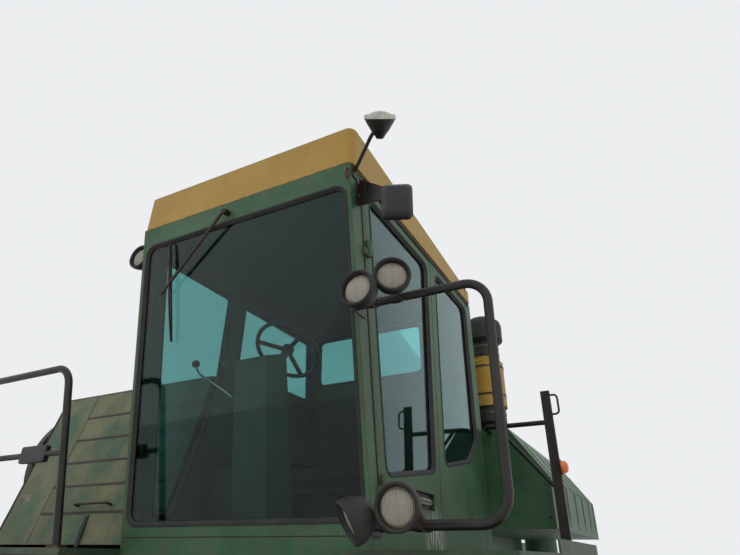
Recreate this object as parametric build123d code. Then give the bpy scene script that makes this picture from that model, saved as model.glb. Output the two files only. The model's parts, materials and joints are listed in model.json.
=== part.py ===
from build123d import *
import os
from math import atan2, cos, degrees, hypot, radians, sin, tan

# A self-propelled combine harvester. Millimetres: front faces -Y, machine's left is +X,
# up is +Z, the ground is z = 0 and x = 0 is the machine's centreline.

os.makedirs("parts", exist_ok=True)

seat_gap = 0.3
running_gap = 0.05

# Cab
cab_x = 620.0
cab_half_width = 735.0
cab_floor_z = 1770.0
cab_floor_top_z = 1830.0
cab_top_z = 3567.5
cab_wall = 45.0
cab_rear_y = -842.0
cab_rear_top_y = -930.0
lean = radians(9.88)
wind_foot_y = -2610.0
wind_foot_z = 1900.0
wind_corner = 70.0
wind_low = 5.0
wind_high = 1573.0
wind_half_width = 705.0
wind_thick = 8.0
pane_thick = 6.0
pane_corner = 60.0
roof_half_width = 750.0
roof_front_y = -2900.0
roof_rear_y = -947.0
roof_front_rise = 236.5
roof_rear_rise = 92.5
roof_corner = 45.0

# Cab door, in the left wall
door_front_foot = (-2501.1, 1915.0)
door_front_head = (-2752.0, 3540.0)
door_rear_y = -1794.0
door_gap = 6.0
door_head_play = 5.0
door_glass = ((-2682.0, 3487.0), (-1852.0, 3487.0), (-1852.0, 2187.0), (-2470.0, 2094.0))
door_hinge_out = 14.0
hinge_radius = 14.0
hinge_pin_radius = 7.0
hinge_length = 45.0
hinge_heights = (2050.0, 3150.0)
handle_box = (-2140.0, -1894.0, 1990.0, 2070.0)
handle_depth = 22.0
left_pane = (
    (-1698.0, 3500.0), (-1052.0, 3500.0), (-1020.0, 2489.0), (-1220.0, 2331.0), (-1698.0, 2236.0))
right_front_pane = (
    (-2723.0, 3440.0), (-2090.0, 3440.0), (-2090.0, 2770.0), (-2330.0, 1960.0), (-2459.0, 1960.0))
right_rear_pane = ((-1940.0, 3440.0), (-1060.0, 3440.0), (-1010.0, 2930.0), (-1940.0, 2930.0))
rear_pane_x = (-40.0, 937.0)
rear_pane_z = (3073.0, 3487.0)

# Cab furniture
pedestal_x = 572.0
pedestal_half_width = 110.0
pedestal_side = ((-2419.0, 1830.0), (-2563.0, 2736.0), (-2390.0, 2800.0), (-2180.0, 1830.0))
wheel_hub = (572.0, -2235.0, 2890.0)
wheel_tilt = 35.0
wheel_ring_radius = 200.0
wheel_rim_radius = 13.0
wheel_hub_radius = 38.0
column_radius = 24.0
seat_x = 600.0
seat_half_width = 240.0
seat_front_y = -1940.0
seat_top_z = 2256.0
cushion_depth = 480.0
cushion_thick = 120.0
back_height = 520.0
back_thick = 110.0
console_x = (60.0, 300.0)
console_side = (
    (-2150.0, 1830.3), (-2150.0, 2240.0), (-2050.0, 2330.0), (-1350.0, 2330.0), (-1350.0, 1830.3))
lever_places = ((130.0, -1980.0, 150.0), (180.0, -1880.0, 120.0), (230.0, -1980.0, 120.0))
lever_radius = 7.0
knob_radius = 20.0

# Deck, beams, ladder and rails
deck_z = 1800.0
deck_thick = 30.0
deck_left = (1355.3, 2000.0, -2850.0, -850.0)
deck_right = (-2000.0, -115.3, -2930.0, -835.0)
kick_thick = 8.0
kick_height = 55.0
kick_front_y = -2120.0
beam_height = 79.7
beam_rows = ((-2400.0, -2340.0), (-925.0, -865.0))
beam_x = (-1980.0, 1980.0)
ladder_y = (-2790.0, -2430.0)
ladder_x = (1870.0, 1990.0)
ladder_foot_z = 420.0
ladder_rail = 22.0
ladder_steps = 4
step_thick = 32.0
rail_radius = 19.0
rail_bend = 100.0
grab_y = -2785.0
grab_top_z = 2795.0
grab_low_z = 1879.0
grab_out_x = 1965.0
foot_plate = 6.0
post_at = (1850.0, -985.0)
post_half = (30.0, 12.0)
post_top_z = 2800.0

# Lamps, mirror, wiper
lamp_radius = 76.0
lamp_depth = 105.0
lens_radius = 55.0
lens_recess = 10.0
lens_thick = 22.0
stalk_radius = 9.0
work_lamp_table = (
    # x, y, z of the lens face, then the way it faces (x, y, z)
    (1503.0, -3062.0, 2737.0, -0.05, -1.00, 0.0),
    (1647.0, -3017.0, 2788.0, 0.45, -0.89, 0.0),
    (1500.0, -3040.0, 1880.0, -0.58, -0.81, 0.0),
    (1647.0, -2989.0, 1923.0, -0.20, -0.98, 0.0))
top_lamp_at = (1600.0, -3040.0, 3606.0)
top_lamp_radius = 62.0
top_lamp_facing = (0.35, -0.45, 0.35)
mirror_at = (1670.0, -2980.0, 3150.0)
mirror_size = (130.0, 40.0, 165.0)
amber_radius = 38.0

# Engine bay, right of the cab
bay_x = (-1630.0, -115.3)
bay_foot_z = 1800.3
bay_top_z = 2852.0
bay_foot_y = -2381.0
bay_lean = 0.243
bay_rear_y = -845.0
bay_wall = 40.0
bay_seam_x = -1255.0
bay_ribs_z = (2654.0, 2485.0, 2323.0, 2165.0, 1996.0)
bay_rib_height = 14.0
bay_rib_depth = 10.0
engine_box = (-1330.0, -330.0, -2020.0, -1020.0, 1800.3, 2640.0)
screen_y = -1770.0
screen_z = 2330.0
screen_radius = 430.0
screen_ring = (446.0, 490.0)
screen_x = (-1800.0, -1650.0)
exhaust_at = (-1300.0, -1080.0)
exhaust_radius = 75.0
exhaust_top_z = 3130.0

# Threshing body and grain tank
hull_half_width = 780.0
hull_side = (
    (-2050.0, 1000.0), (-2050.0, 1690.0), (-830.0, 1690.0), (-830.0, 1949.7),
    (2480.0, 1949.7), (2480.0, 950.0), (-1560.0, 950.0))
throat_half_width = 560.0
throat_rear_y = -1640.0
throat_top_z = 1650.0
tank_outline = (
    (1780.0, 1950.0), (1780.0, 2260.0), (1530.0, 2610.0), (1120.0, 2610.0), (700.0, 3030.0),
    (-1150.0, 3030.0), (-1530.0, 2610.0), (-1780.0, 2260.0), (-1780.0, 1950.0))
tank_y = (-830.0, 1400.0)
tank_wall = 40.0
tank_mouth_x = (-1100.0, 650.0)
tank_mouth_y = (-700.0, 1280.0)
shield_stand_off = 220.0
shield_thick = 30.0
shield_side = (
    (-500.0, 1949.7), (1390.0, 1949.7), (1390.0, 1260.0), (1150.0, 1010.0), (-300.0, 1010.0),
    (-500.0, 1250.0))
shoe_side = (
    (-1250.0, 949.7), (-1250.0, 860.0), (-350.0, 620.0), (1000.0, 620.0), (1850.0, 820.0),
    (1850.0, 949.7))
shoe_half_width = 700.0
elevator_foot = (700.0, 760.0)
elevator_head = (250.0, 1800.0)
elevator_half = 110.0
elevator_width = 140.0

# Feeder house, hinged in the front of the body
feeder_pivot_y = -1950.0
feeder_pivot_z = 1330.0
feeder_angle = radians(19.0)
feeder_half_width = 550.0
feeder_half_height = 300.0
feeder_length = 1890.7
feeder_wall = 30.0
trunnion_radius = 30.0
trunnion_out = 640.0
nose_frame = 45.0
nose_frame_thick = 60.0
header_hole_radius = 10.0
header_hole_x = 500.0
chain_drum_radius = 130.0
chain_strands = (-430.0, 0.0, 430.0)
strand_half = 22.0
strand_thick = 30.0
slat_count = 12
slat_half_width = 490.0
lift_x = 430.0
lift_foot = (-1640.0, 700.0)
lift_head_along = 1130.0
lift_head_drop = 60.0
lift_pin_radius = 18.0
barrel_radius = 45.0
barrel_length = 760.0
ram_radius = 25.0
ram_eye_radius = 40.0
ram_eye_play = 7.5
ear_half = 46.0

# Front axle and drive wheels
axle_y = -1450.0
axle_z = 860.0
axle_half_height = 90.0
track_x = 1420.0
spindle_radius = 90.0
final_drive_x = (900.0, 1060.0)
drive_tyre_radius = 860.0
drive_tyre_half = 300.0
drive_rim_radius = 381.0
drive_rim_half = 250.0

# Rear axle and steered wheels
rear_y = 2000.0
rear_track_x = 1200.0
rear_tyre_radius = 555.0
rear_tyre_half = 145.0
rear_rim_radius = 305.0
rear_rim_half = 125.0
king_x = 980.0
king_radius = 30.0
boss_radius = 48.0
boss_z = (600.0, 800.0)
rear_spindle_radius = 35.0
arm_reach = 220.0
tie_z = 485.0
tie_radius = 18.0
tie_pin_radius = 14.0

# Straw hood and spreader
hood_y = (2480.3, 3850.0)
hood_side = (
    (2480.3, 1949.7), (3350.0, 1949.7), (3850.0, 1600.0), (3850.0, 1150.0), (3550.0, 1080.0),
    (2480.3, 1000.0))
hood_wall = 40.0
spreader_x = 350.0
spreader_y = 3330.0
spreader_z = (980.0, 1005.0)
spreader_radius = 280.0
spreader_bats = 6
spreader_bar_z = 1120.0

# Unloading auger
auger_at = (1180.0, 1600.0)
auger_stand_radius = 160.0
auger_radius = 150.0
auger_wall = 8.0
auger_turn_z = 2250.0
auger_z = 2470.0
auger_length = 2150.0
auger_toe = radians(9.0)

# Air cleaner on the tank's left shoulder
cleaner_at = (1330.0, -500.0)
cleaner_foot_z = 2610.3


def block(x0, x1, y0, y1, z0, z1):
    return Pos((x0 + x1) / 2, (y0 + y1) / 2, (z0 + z1) / 2) * Box(x1 - x0, y1 - y0, z1 - z0)


def side_slab(outline, x0, x1, corner=0.0, grow=0.0):
    # A plate whose outline lies in the side view (y, z).
    face = Face(Wire.make_polygon([(x0, y, z) for y, z in outline]))
    if grow:
        face = offset(face, amount=grow, kind=Kind.INTERSECTION).face()
    if corner:
        face = face.fillet_2d(corner, face.vertices())
    return extrude(face, amount=x1 - x0, dir=(1, 0, 0))


def front_slab(outline, y0, y1, grow=0.0):
    # A plate whose outline lies in the front view (x, z).
    face = Face(Wire.make_polygon([(x, y0, z) for x, z in outline]))
    if grow:
        face = offset(face, amount=grow, kind=Kind.INTERSECTION).face()
    return extrude(face, amount=y1 - y0, dir=(0, 1, 0))


def plan_slab(outline, z0, z1):
    face = Face(Wire.make_polygon([(x, y, z0) for x, y in outline]))
    return extrude(face, amount=z1 - z0, dir=(0, 0, 1))


def bar(start, end, radius):
    start = Vector(*start)
    run = Vector(*end) - start
    return extrude(Plane(start, z_dir=run) * Circle(radius), amount=run.length)


def bent_bar(points, radius, bend):
    # A round tube along straight runs joined by bends.
    path = FilletPolyline(*points, radius=bend)
    return sweep(Plane(path @ 0, z_dir=path % 0) * Circle(radius), path=path)


def turned(profile, origin, direction):
    # A profile of (radius, distance along the axis) turned about that axis.
    face = Face(Wire.make_polygon([(r, 0, h) for r, h in profile]))
    solid = revolve(face, axis=Axis.Z, revolution_arc=360)
    return Plane(Vector(*origin), z_dir=Vector(*direction)).location * solid


def mirrored(shape):
    return mirror(shape, about=Plane.YZ)


def joined(shapes):
    whole = shapes[0]
    for shape in shapes[1:]:
        whole = whole + shape
    return whole


def save(name, shape):
    solids = shape.solids()
    export_step(solids[0] if len(solids) == 1 else Compound(children=list(solids)), f"parts/{name}.step")
    print(name, len(solids), round(sum(s.volume for s in solids) / 1e6, 1))


def lean_y(z):
    # The windshield plane's y at a height.
    return wind_foot_y - (z - wind_foot_z) * tan(lean)


# Cab shell: floor, leaning front, side walls, rear wall
wind_plane = Plane(
    origin=(cab_x, wind_foot_y, wind_foot_z), x_dir=(1, 0, 0), z_dir=(0, -cos(lean), -sin(lean)))
cab_left = cab_x + cab_half_width
cab_right = cab_x - cab_half_width
cab_outline = (
    (lean_y(cab_floor_z), cab_floor_z), (lean_y(cab_top_z), cab_top_z),
    (cab_rear_top_y, cab_top_z), (cab_rear_y, cab_floor_z))
cab_shell = side_slab(cab_outline, cab_right, cab_left)
cab_room = side_slab(cab_outline, cab_right + cab_wall, cab_left - cab_wall, grow=-cab_wall)
cab_room -= block(cab_right, cab_left, -3200, 0, cab_floor_z - 1, cab_floor_top_z)
cab_shell -= cab_room
wind_height = wind_high - wind_low
wind_centre = wind_low + wind_height / 2


def wind_plate(half_width, height, corner, back, thick):
    # A rounded plate in the windshield's plane, its front face back behind that plane.
    sheet = Pos(0, wind_centre, -back) * RectangleRounded(half_width * 2, height, corner)
    return extrude(wind_plane * sheet, amount=-thick)


cab_shell -= wind_plate(wind_half_width, wind_height, wind_corner, -20, 20 + cab_wall * 2)
door_outline = (
    door_front_foot, door_front_head, (door_rear_y, door_front_head[1]), (door_rear_y, door_front_foot[1]))
door_out = cab_left - cab_wall
cab_shell -= side_slab(door_outline, door_out - 5, cab_left + 5, grow=door_gap)
cab_shell -= side_slab(left_pane, door_out - 5, cab_left + 5, corner=pane_corner)
for pane in (right_front_pane, right_rear_pane):
    cab_shell -= side_slab(pane, cab_right - 5, cab_right + cab_wall + 5, corner=pane_corner / 2)
rear_cut = block(*rear_pane_x, cab_rear_top_y - 90, cab_rear_y + 60, *rear_pane_z)
cab_shell -= fillet(rear_cut.edges().filter_by(Axis.Y), pane_corner)

# Door hinges: a bracket and pin on the front post, a sleeve on the door
hinge_run = Vector(0, door_front_head[0] - door_front_foot[0], door_front_head[1] - door_front_foot[1])
hinge_dir = hinge_run.normalized()
hinge_x = cab_left + door_hinge_out + seat_gap
hinge_foot = Vector(hinge_x, door_front_foot[0] - door_gap / 2, door_front_foot[1])


def hinge_at(z):
    return hinge_foot + hinge_dir * ((z - hinge_foot.Z) / hinge_dir.Z)


def hinge_knuckle(z, low, high, radius):
    start = hinge_at(z) + hinge_dir * low
    return bar(tuple(start), tuple(start + hinge_dir * (high - low)), radius)


door_sleeves = []
for height in hinge_heights:
    low = -hinge_length
    hinge_root = hinge_knuckle(height, low, 0, hinge_radius)
    at = hinge_at(height - hinge_length / 2)
    leaf = block(
        cab_left - 2, hinge_x, at.Y - 44, at.Y, at.Z - hinge_length / 2 + 4, at.Z + hinge_length / 2 - 4)
    pin = hinge_knuckle(height, low, hinge_length, hinge_pin_radius)
    cab_shell += hinge_root + pin + leaf
    sleeve = hinge_knuckle(height, seat_gap, hinge_length, hinge_radius)
    sleeve -= hinge_knuckle(height, 0, hinge_length + 1, hinge_pin_radius + running_gap)
    at = hinge_at(height + hinge_length / 2)
    tab = block(
        cab_left - 2, hinge_x - 5, at.Y + hinge_pin_radius + 4, at.Y + 52,
        at.Z - hinge_length / 2 + 3, at.Z + hinge_length / 2 - 3)
    door_sleeves.append(sleeve + (tab - hinge_knuckle(height, -5, hinge_length + 5, hinge_pin_radius + 2)))
save("cab_shell", cab_shell)

# The leaning hinges lift the door's head a little as it opens, so the leaf stops short there.
leaf_head_z = door_front_head[1] - door_head_play
leaf_head_y = hinge_at(leaf_head_z).Y + door_gap / 2
cab_door = side_slab(
    (door_front_foot, (leaf_head_y, leaf_head_z), (door_rear_y, leaf_head_z), (door_rear_y, door_front_foot[1])),
    door_out, cab_left)
cab_door -= side_slab(door_glass, door_out - 5, cab_left + 5, corner=pane_corner)
y0, y1, z0, z1 = handle_box
cab_door -= block(cab_left - handle_depth, cab_left + 5, y0, y1, z0, z1)
cab_door += bar((cab_left - 10, y0 - 1, (z0 + z1) / 2), (cab_left - 10, y1 + 1, (z0 + z1) / 2), 7)
for sleeve in door_sleeves:
    cab_door += sleeve
save("cab_door", cab_door)


def pane_in_side(outline, x_mid, corner):
    return side_slab(
        outline, x_mid - pane_thick / 2, x_mid + pane_thick / 2, corner=corner - seat_gap, grow=-seat_gap)


save("door_glass", pane_in_side(door_glass, cab_left - cab_wall / 2, pane_corner))
rear_slope = atan2(cab_rear_y - cab_rear_top_y, cab_top_z - cab_floor_z)
rear_mid_z = (rear_pane_z[0] + rear_pane_z[1]) / 2
rear_mid_y = cab_rear_y + (cab_rear_top_y - cab_rear_y) * (rear_mid_z - cab_floor_z) / (cab_top_z - cab_floor_z)
rear_pane = fillet(
    block(
        rear_pane_x[0] + seat_gap, rear_pane_x[1] - seat_gap, -400, 400,
        rear_pane_z[0] + seat_gap, rear_pane_z[1] - seat_gap).edges().filter_by(Axis.Y),
    pane_corner - seat_gap)
rear_sheet = Pos(cab_x, rear_mid_y - cab_wall / 2, rear_mid_z) * Rot(degrees(rear_slope), 0, 0) * Box(
    1600, pane_thick, 900)
rear_pane = rear_pane.moved(Location((0, rear_mid_y, 0))) & rear_sheet
save("cab_glass", Compound(children=[
    *pane_in_side(left_pane, cab_left - cab_wall / 2, pane_corner).solids(),
    *pane_in_side(right_front_pane, cab_right + cab_wall / 2, pane_corner / 2).solids(),
    *pane_in_side(right_rear_pane, cab_right + cab_wall / 2, pane_corner / 2).solids(),
    *rear_pane.solids()]))
save("windshield", wind_plate(
    wind_half_width - seat_gap, wind_height - 2 * seat_gap, wind_corner - seat_gap, 14, wind_thick))

# Roof: one deep band with a crown falling towards the rear
roof_outline = (
    (roof_front_y, cab_top_z + seat_gap), (roof_front_y, cab_top_z + roof_front_rise),
    (roof_rear_y, cab_top_z + roof_rear_rise), (roof_rear_y, cab_top_z + seat_gap))
roof = side_slab(roof_outline, cab_x - roof_half_width, cab_x + roof_half_width)
roof = fillet(roof.edges().filter_by(Axis.Z), roof_corner)
save("cab_roof", roof)

# Steering pedestal, wheel, console and seat
pedestal_raised = [(y, z + (seat_gap if z == cab_floor_top_z else 0)) for y, z in pedestal_side]
pedestal = side_slab(pedestal_raised, pedestal_x - pedestal_half_width, pedestal_x + pedestal_half_width)
wheel_up = Vector(0, sin(radians(wheel_tilt)), cos(radians(wheel_tilt)))
hub = Vector(*wheel_hub)
pedestal += bar(tuple(hub - wheel_up * 330), tuple(hub - wheel_up * 34), column_radius)
pedestal += bar(tuple(hub - wheel_up * 40), tuple(hub + wheel_up * 6), 9)
pedestal += bar((pedestal_x - 80, -2430, 2720), (pedestal_x - 330, -2390, 2800), lever_radius)
pedestal += Pos(pedestal_x - 330, -2390, 2800) * Sphere(knob_radius + 4)
save("steering_pedestal", pedestal)
wheel_plane = Plane(hub, x_dir=(1, 0, 0), z_dir=wheel_up)
steering_wheel = Torus(wheel_ring_radius, wheel_rim_radius)
steering_wheel += Cylinder(wheel_hub_radius, 30)
for turn in (90, 210, 330):
    steering_wheel += Rot(0, 0, turn) * Pos(wheel_ring_radius / 2, 0, 0) * Box(wheel_ring_radius, 26, 10)
steering_wheel -= Pos(0, 0, -10) * Cylinder(9 + running_gap, 34)
save("steering_wheel", wheel_plane.location * steering_wheel)
console = side_slab(console_side, *console_x)
for x, y, height in lever_places:
    console += bar((x, y, 2280), (x, y - 30, 2310 + height), lever_radius)
    console += Pos(x, y - 30, 2310 + height) * Sphere(knob_radius)
save("control_console", console)
cushion = block(
    seat_x - seat_half_width, seat_x + seat_half_width, seat_front_y, seat_front_y + cushion_depth,
    seat_top_z - cushion_thick, seat_top_z)
cushion = fillet(cushion.edges(), 38)
back_y = seat_front_y + cushion_depth
backrest = block(
    seat_x - seat_half_width + 15, seat_x + seat_half_width - 15, back_y - 40, back_y - 40 + back_thick,
    seat_top_z - cushion_thick + 5, seat_top_z + back_height)
backrest = fillet(backrest.edges(), 38)
save("seat_cushions", cushion + backrest)
seat_base = block(seat_x - 190, seat_x + 190, seat_front_y + 70, back_y - 20, 1830.3, 1960)
seat_base += block(seat_x - 120, seat_x + 120, seat_front_y + 120, back_y - 80, 1950, 2110)
seat_base += block(
    seat_x - 215, seat_x + 215, seat_front_y + 40, back_y - 50, 2100, seat_top_z - cushion_thick - seat_gap)
save("seat_base", seat_base)

# Decks on cross beams
left_deck = block(deck_left[0], deck_left[1], deck_left[2], deck_left[3], deck_z - deck_thick, deck_z)
left_deck += block(
    deck_left[1] - kick_thick, deck_left[1], kick_front_y, deck_left[3], deck_z - 1, deck_z + kick_height)
left_deck -= block(
    post_at[0] - post_half[0] - seat_gap, post_at[0] + post_half[0] + seat_gap,
    post_at[1] - post_half[1] - seat_gap, post_at[1] + post_half[1] + seat_gap, deck_z - deck_thick - 1, deck_z + 1)
right_deck = block(deck_right[0], deck_right[1], deck_right[2], deck_right[3], deck_z - deck_thick, deck_z)
save("decks", Compound(children=[left_deck.solid(), right_deck.solid()]))
beam_top = deck_z - deck_thick - seat_gap
beams = [block(*beam_x, y0, y1, beam_top - beam_height + seat_gap, beam_top) for y0, y1 in beam_rows]
for x in (-700.0, 640.0):
    beams.append(block(
        x, x + 60, beam_rows[0][1] - 5, beam_rows[1][0] + 5, beam_top - beam_height + seat_gap, beam_top))
save("deck_beams", joined(beams))

# Boarding ladder ahead of the left drive wheel
ladder_top = deck_z - deck_thick - seat_gap
ladder = []
for y in ladder_y:
    ladder.append(block(*ladder_x, y - ladder_rail / 2, y + ladder_rail / 2, ladder_foot_z, ladder_top))
pitch = (ladder_top - ladder_foot_z) / (ladder_steps + 0.6)
for step in range(ladder_steps):
    z = ladder_foot_z + 20 + step * pitch
    ladder.append(block(*ladder_x, ladder_y[0], ladder_y[1], z, z + step_thick))
save("ladder", joined(ladder))

# Left grab rail: a D of bent tube in front of the door
grab_foot_x = cab_left + seat_gap
grab = bent_bar(
    ((grab_foot_x + foot_plate - 1, grab_y, grab_top_z), (grab_out_x, grab_y, grab_top_z),
     (grab_out_x, grab_y, grab_low_z), (grab_foot_x + foot_plate - 1, grab_y, grab_low_z)),
    rail_radius, rail_bend)
for z, rear in ((grab_top_z, -2700.0), (grab_low_z, -2530.0)):
    grab += block(grab_foot_x, grab_foot_x + foot_plate, grab_y - 24, rear, z - 30, z + 30)

# Post let into the rear of the left deck, with its bar and brace
rear_post = block(
    post_at[0] - post_half[0], post_at[0] + post_half[0], post_at[1] - post_half[1], post_at[1] + post_half[1],
    deck_z - deck_thick, post_top_z)
rear_post += bent_bar(
    ((post_at[0] - 10, post_at[1], 2590), (1400, post_at[1], 2590), (1400, tank_y[0] - seat_gap, 2590)),
    16, 60)
rear_post += bar((1490, post_at[1], 2590), (post_at[0] - 10, post_at[1], 2170), 12)
rear_post += bent_bar(
    ((post_at[0] + 20, post_at[1], 2640), (post_at[0] + 75, post_at[1], 2640),
     (post_at[0] + 75, post_at[1], 2770), (post_at[0] + 20, post_at[1], 2770)), 7, 25)

# Guard rail ahead of the engine bay
guard_path = ((-184, -2900, deck_z + seat_gap), (-250, -3044, 2660), (-1920, -3044, 2660),
              (-1950, -2900, deck_z + seat_gap))
guard = bent_bar(guard_path, rail_radius, rail_bend)
guard += bar((-218, -2972, 2230), (-1936, -2972, 2230), 15)
for x in (guard_path[0][0], guard_path[3][0]):
    guard += block(x - 45, x + 45, -2925, -2875, deck_z + seat_gap, deck_z + 10)
guard &= block(-2000, 0, -3200, -2700, deck_z + seat_gap, 2800)
save("hand_rails", Compound(children=[grab.solid(), rear_post.solid(), guard.solid()]))

# Engine bay cover: leaning ribbed front, plain outboard panel, roof, outer wall
bay_top_y = bay_foot_y + (bay_top_z - bay_foot_z) * bay_lean
bay_side = (
    (bay_foot_y, bay_foot_z), (bay_top_y, bay_top_z), (bay_rear_y, bay_top_z), (bay_rear_y, bay_foot_z))
bay = side_slab(bay_side, *bay_x)
bay_room_side = (
    (bay_foot_y + bay_wall, bay_foot_z - 1), (bay_top_y + bay_wall, bay_top_z - bay_wall),
    (bay_rear_y + 1, bay_top_z - bay_wall), (bay_rear_y + 1, bay_foot_z - 1))
bay -= side_slab(bay_room_side, bay_x[0] + bay_wall, bay_x[1] + 1)
bay -= block(bay_x[0] + 80, bay_x[1] + 1, bay_foot_y - 5, bay_foot_y + 60, bay_foot_z - 1, 1823)
for z in bay_ribs_z:
    y = bay_foot_y + (z - bay_foot_z) * bay_lean
    bay -= block(bay_seam_x, bay_x[1] + 1, y - 10, y + bay_rib_depth, z, z + bay_rib_height)
bay -= bar((bay_x[0] - 1, screen_y, screen_z), (bay_x[0] + bay_wall + 1, screen_y, screen_z), screen_ring[0])
save("engine_cover", bay)
save("engine_block", block(*engine_box))
ring = turned(
    ((screen_ring[0], 0), (screen_ring[1], 0), (screen_ring[1], 60), (screen_ring[0], 60)),
    (bay_x[0] - seat_gap - 60, screen_y, screen_z), (1, 0, 0))
spider_x = bay_x[0] - seat_gap - 12
for turn in (0, 60, 120):
    ring += Pos(spider_x + 6, screen_y, screen_z) * Rot(turn, 0, 0) * Box(12, 30, 2 * screen_ring[0] + 20)
ring += bar((spider_x, screen_y, screen_z), (screen_x[0] + 8, screen_y, screen_z), 25)
save("screen_ring", ring)
drum = turned(
    ((25 + running_gap, 70), (50, 70), (50, 16), (screen_radius - 12, 24), (screen_radius - 12, 150),
     (screen_radius, 150), (screen_radius, 14), (60, 0), (25 + running_gap, 0)),
    (screen_x[0], screen_y, screen_z), (1, 0, 0))
save("rotary_screen", drum)
stack = turned(
    ((0, 0), (exhaust_radius, 0), (exhaust_radius, 190), (40, 215), (40, exhaust_top_z - bay_top_z),
     (32, exhaust_top_z - bay_top_z), (32, 200), (0, 200)),
    (*exhaust_at, bay_top_z + seat_gap), (0, 0, 1))
save("exhaust_stack", stack)

# Threshing body: deep box with the feeder throat in front, tank above
hull = side_slab(hull_side, -hull_half_width, hull_half_width)
hull -= block(-throat_half_width, throat_half_width, -2100, throat_rear_y, 900, throat_top_z)
for side in (-1, 1):
    hull -= bar(
        (side * (throat_half_width - 5), feeder_pivot_y, feeder_pivot_z),
        (side * (trunnion_out + 6), feeder_pivot_y, feeder_pivot_z), trunnion_radius + running_gap)
hull -= block(-hull_half_width + 60, hull_half_width - 60, 1500, 2490, 1040, 1880)
save("threshing_body", hull)
tank = front_slab(tank_outline, *tank_y)
tank_room = front_slab(tank_outline, tank_y[0] + tank_wall, tank_y[1] - tank_wall, grow=-tank_wall)
tank -= tank_room
tank -= block(*tank_mouth_x, *tank_mouth_y, 2900, 3100)
save("grain_tank", tank)
shoe = side_slab(shoe_side, -shoe_half_width, shoe_half_width)
save("cleaning_shoe", shoe)
elevator_x = (hull_half_width + seat_gap, hull_half_width + seat_gap + elevator_width)
run_y = elevator_head[0] - elevator_foot[0]
run_z = elevator_head[1] - elevator_foot[1]
run = hypot(run_y, run_z)
elevator = Pos(
    (elevator_x[0] + elevator_x[1]) / 2, (elevator_foot[0] + elevator_head[0]) / 2,
    (elevator_foot[1] + elevator_head[1]) / 2) * Rot(degrees(-atan2(run_y, run_z)), 0, 0) * Box(
    elevator_x[1] - elevator_x[0], elevator_half * 2, run)
for at in (elevator_foot, elevator_head):
    elevator += bar((elevator_x[0], *at), (elevator_x[1], *at), elevator_half)
save("elevators", Compound(children=[elevator.solid(), mirrored(elevator).solid()]))
shield_x = (hull_half_width + shield_stand_off, hull_half_width + shield_stand_off + shield_thick)
shield = side_slab(shield_side, *shield_x)
for y in (-300.0, 1200.0):
    for z in (1300.0, 1800.0):
        shield += bar((shield_x[0] + 5, y, z), (hull_half_width + seat_gap, y, z), 20)
shields = shield + mirrored(shield)
save("side_shields", shields)

# Feeder house: a tapered-off box about its trunnions, open at both ends
feeder_plane = Plane(
    origin=(0, feeder_pivot_y, feeder_pivot_z), x_dir=(1, 0, 0),
    z_dir=(0, -cos(feeder_angle), -sin(feeder_angle)))
feeder_out = Vector(0, -cos(feeder_angle), -sin(feeder_angle))
feeder_up = Vector(0, -sin(feeder_angle), cos(feeder_angle))
pivot = Vector(0, feeder_pivot_y, feeder_pivot_z)


def feeder_point(along, up, x=0.0):
    return pivot + feeder_out * along + feeder_up * up + Vector(x, 0, 0)


def feeder_block(x0, x1, along0, along1, up0, up1):
    # A box in the feeder house's own frame: x, along its length, up from its mid line.
    sheet = Pos((x0 + x1) / 2, (up0 + up1) / 2, along0) * Rectangle(x1 - x0, up1 - up0)
    return extrude(feeder_plane * sheet, amount=along1 - along0)


half = feeder_half_height
feeder = feeder_block(-feeder_half_width, feeder_half_width, 0, feeder_length, -half, half)
feeder += bar((-feeder_half_width, feeder_pivot_y, feeder_pivot_z),
              (feeder_half_width, feeder_pivot_y, feeder_pivot_z), half)
inner = half - feeder_wall
inner_x = feeder_half_width - feeder_wall
feeder -= feeder_block(-inner_x, inner_x, 0, feeder_length + 10, -inner, inner)
feeder -= bar((-inner_x, feeder_pivot_y, feeder_pivot_z), (inner_x, feeder_pivot_y, feeder_pivot_z), inner)
feeder -= feeder_block(-inner_x, inner_x, -half - 10, -120, -160, inner - 40)
frame_along = feeder_length - nose_frame_thick
nose = feeder_block(
    -feeder_half_width - nose_frame, feeder_half_width + nose_frame, frame_along, feeder_length,
    -half - nose_frame, half + nose_frame)
nose -= feeder_block(-inner_x, inner_x, frame_along - 5, feeder_length + 5, -inner, inner)
feeder += nose
for sx in (-1, 1):
    for sz in (-1, 1):
        hole_x = sx * header_hole_x
        hole_up = sz * (half + nose_frame / 2)
        feeder -= bar(
            tuple(feeder_point(frame_along - 5, hole_up, hole_x)),
            tuple(feeder_point(feeder_length + 5, hole_up, hole_x)), header_hole_radius)
    feeder += bar((sx * (feeder_half_width - 5), feeder_pivot_y, feeder_pivot_z),
                  (sx * trunnion_out, feeder_pivot_y, feeder_pivot_z), trunnion_radius)
lift_head = feeder_point(lift_head_along, -half - lift_head_drop)
for sx in (-1, 1):
    for side in (-1, 1):
        mid = sx * lift_x + side * (ear_half + 14)
        feeder += feeder_block(
            mid - 8, mid + 8, lift_head_along - 45, lift_head_along + 45, -half - lift_head_drop - 40, -half + 5)
    feeder += bar((sx * lift_x - ear_half - 20, lift_head.Y, lift_head.Z),
                  (sx * lift_x + ear_half + 20, lift_head.Y, lift_head.Z), lift_pin_radius)
save("feeder_house", feeder)

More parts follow.
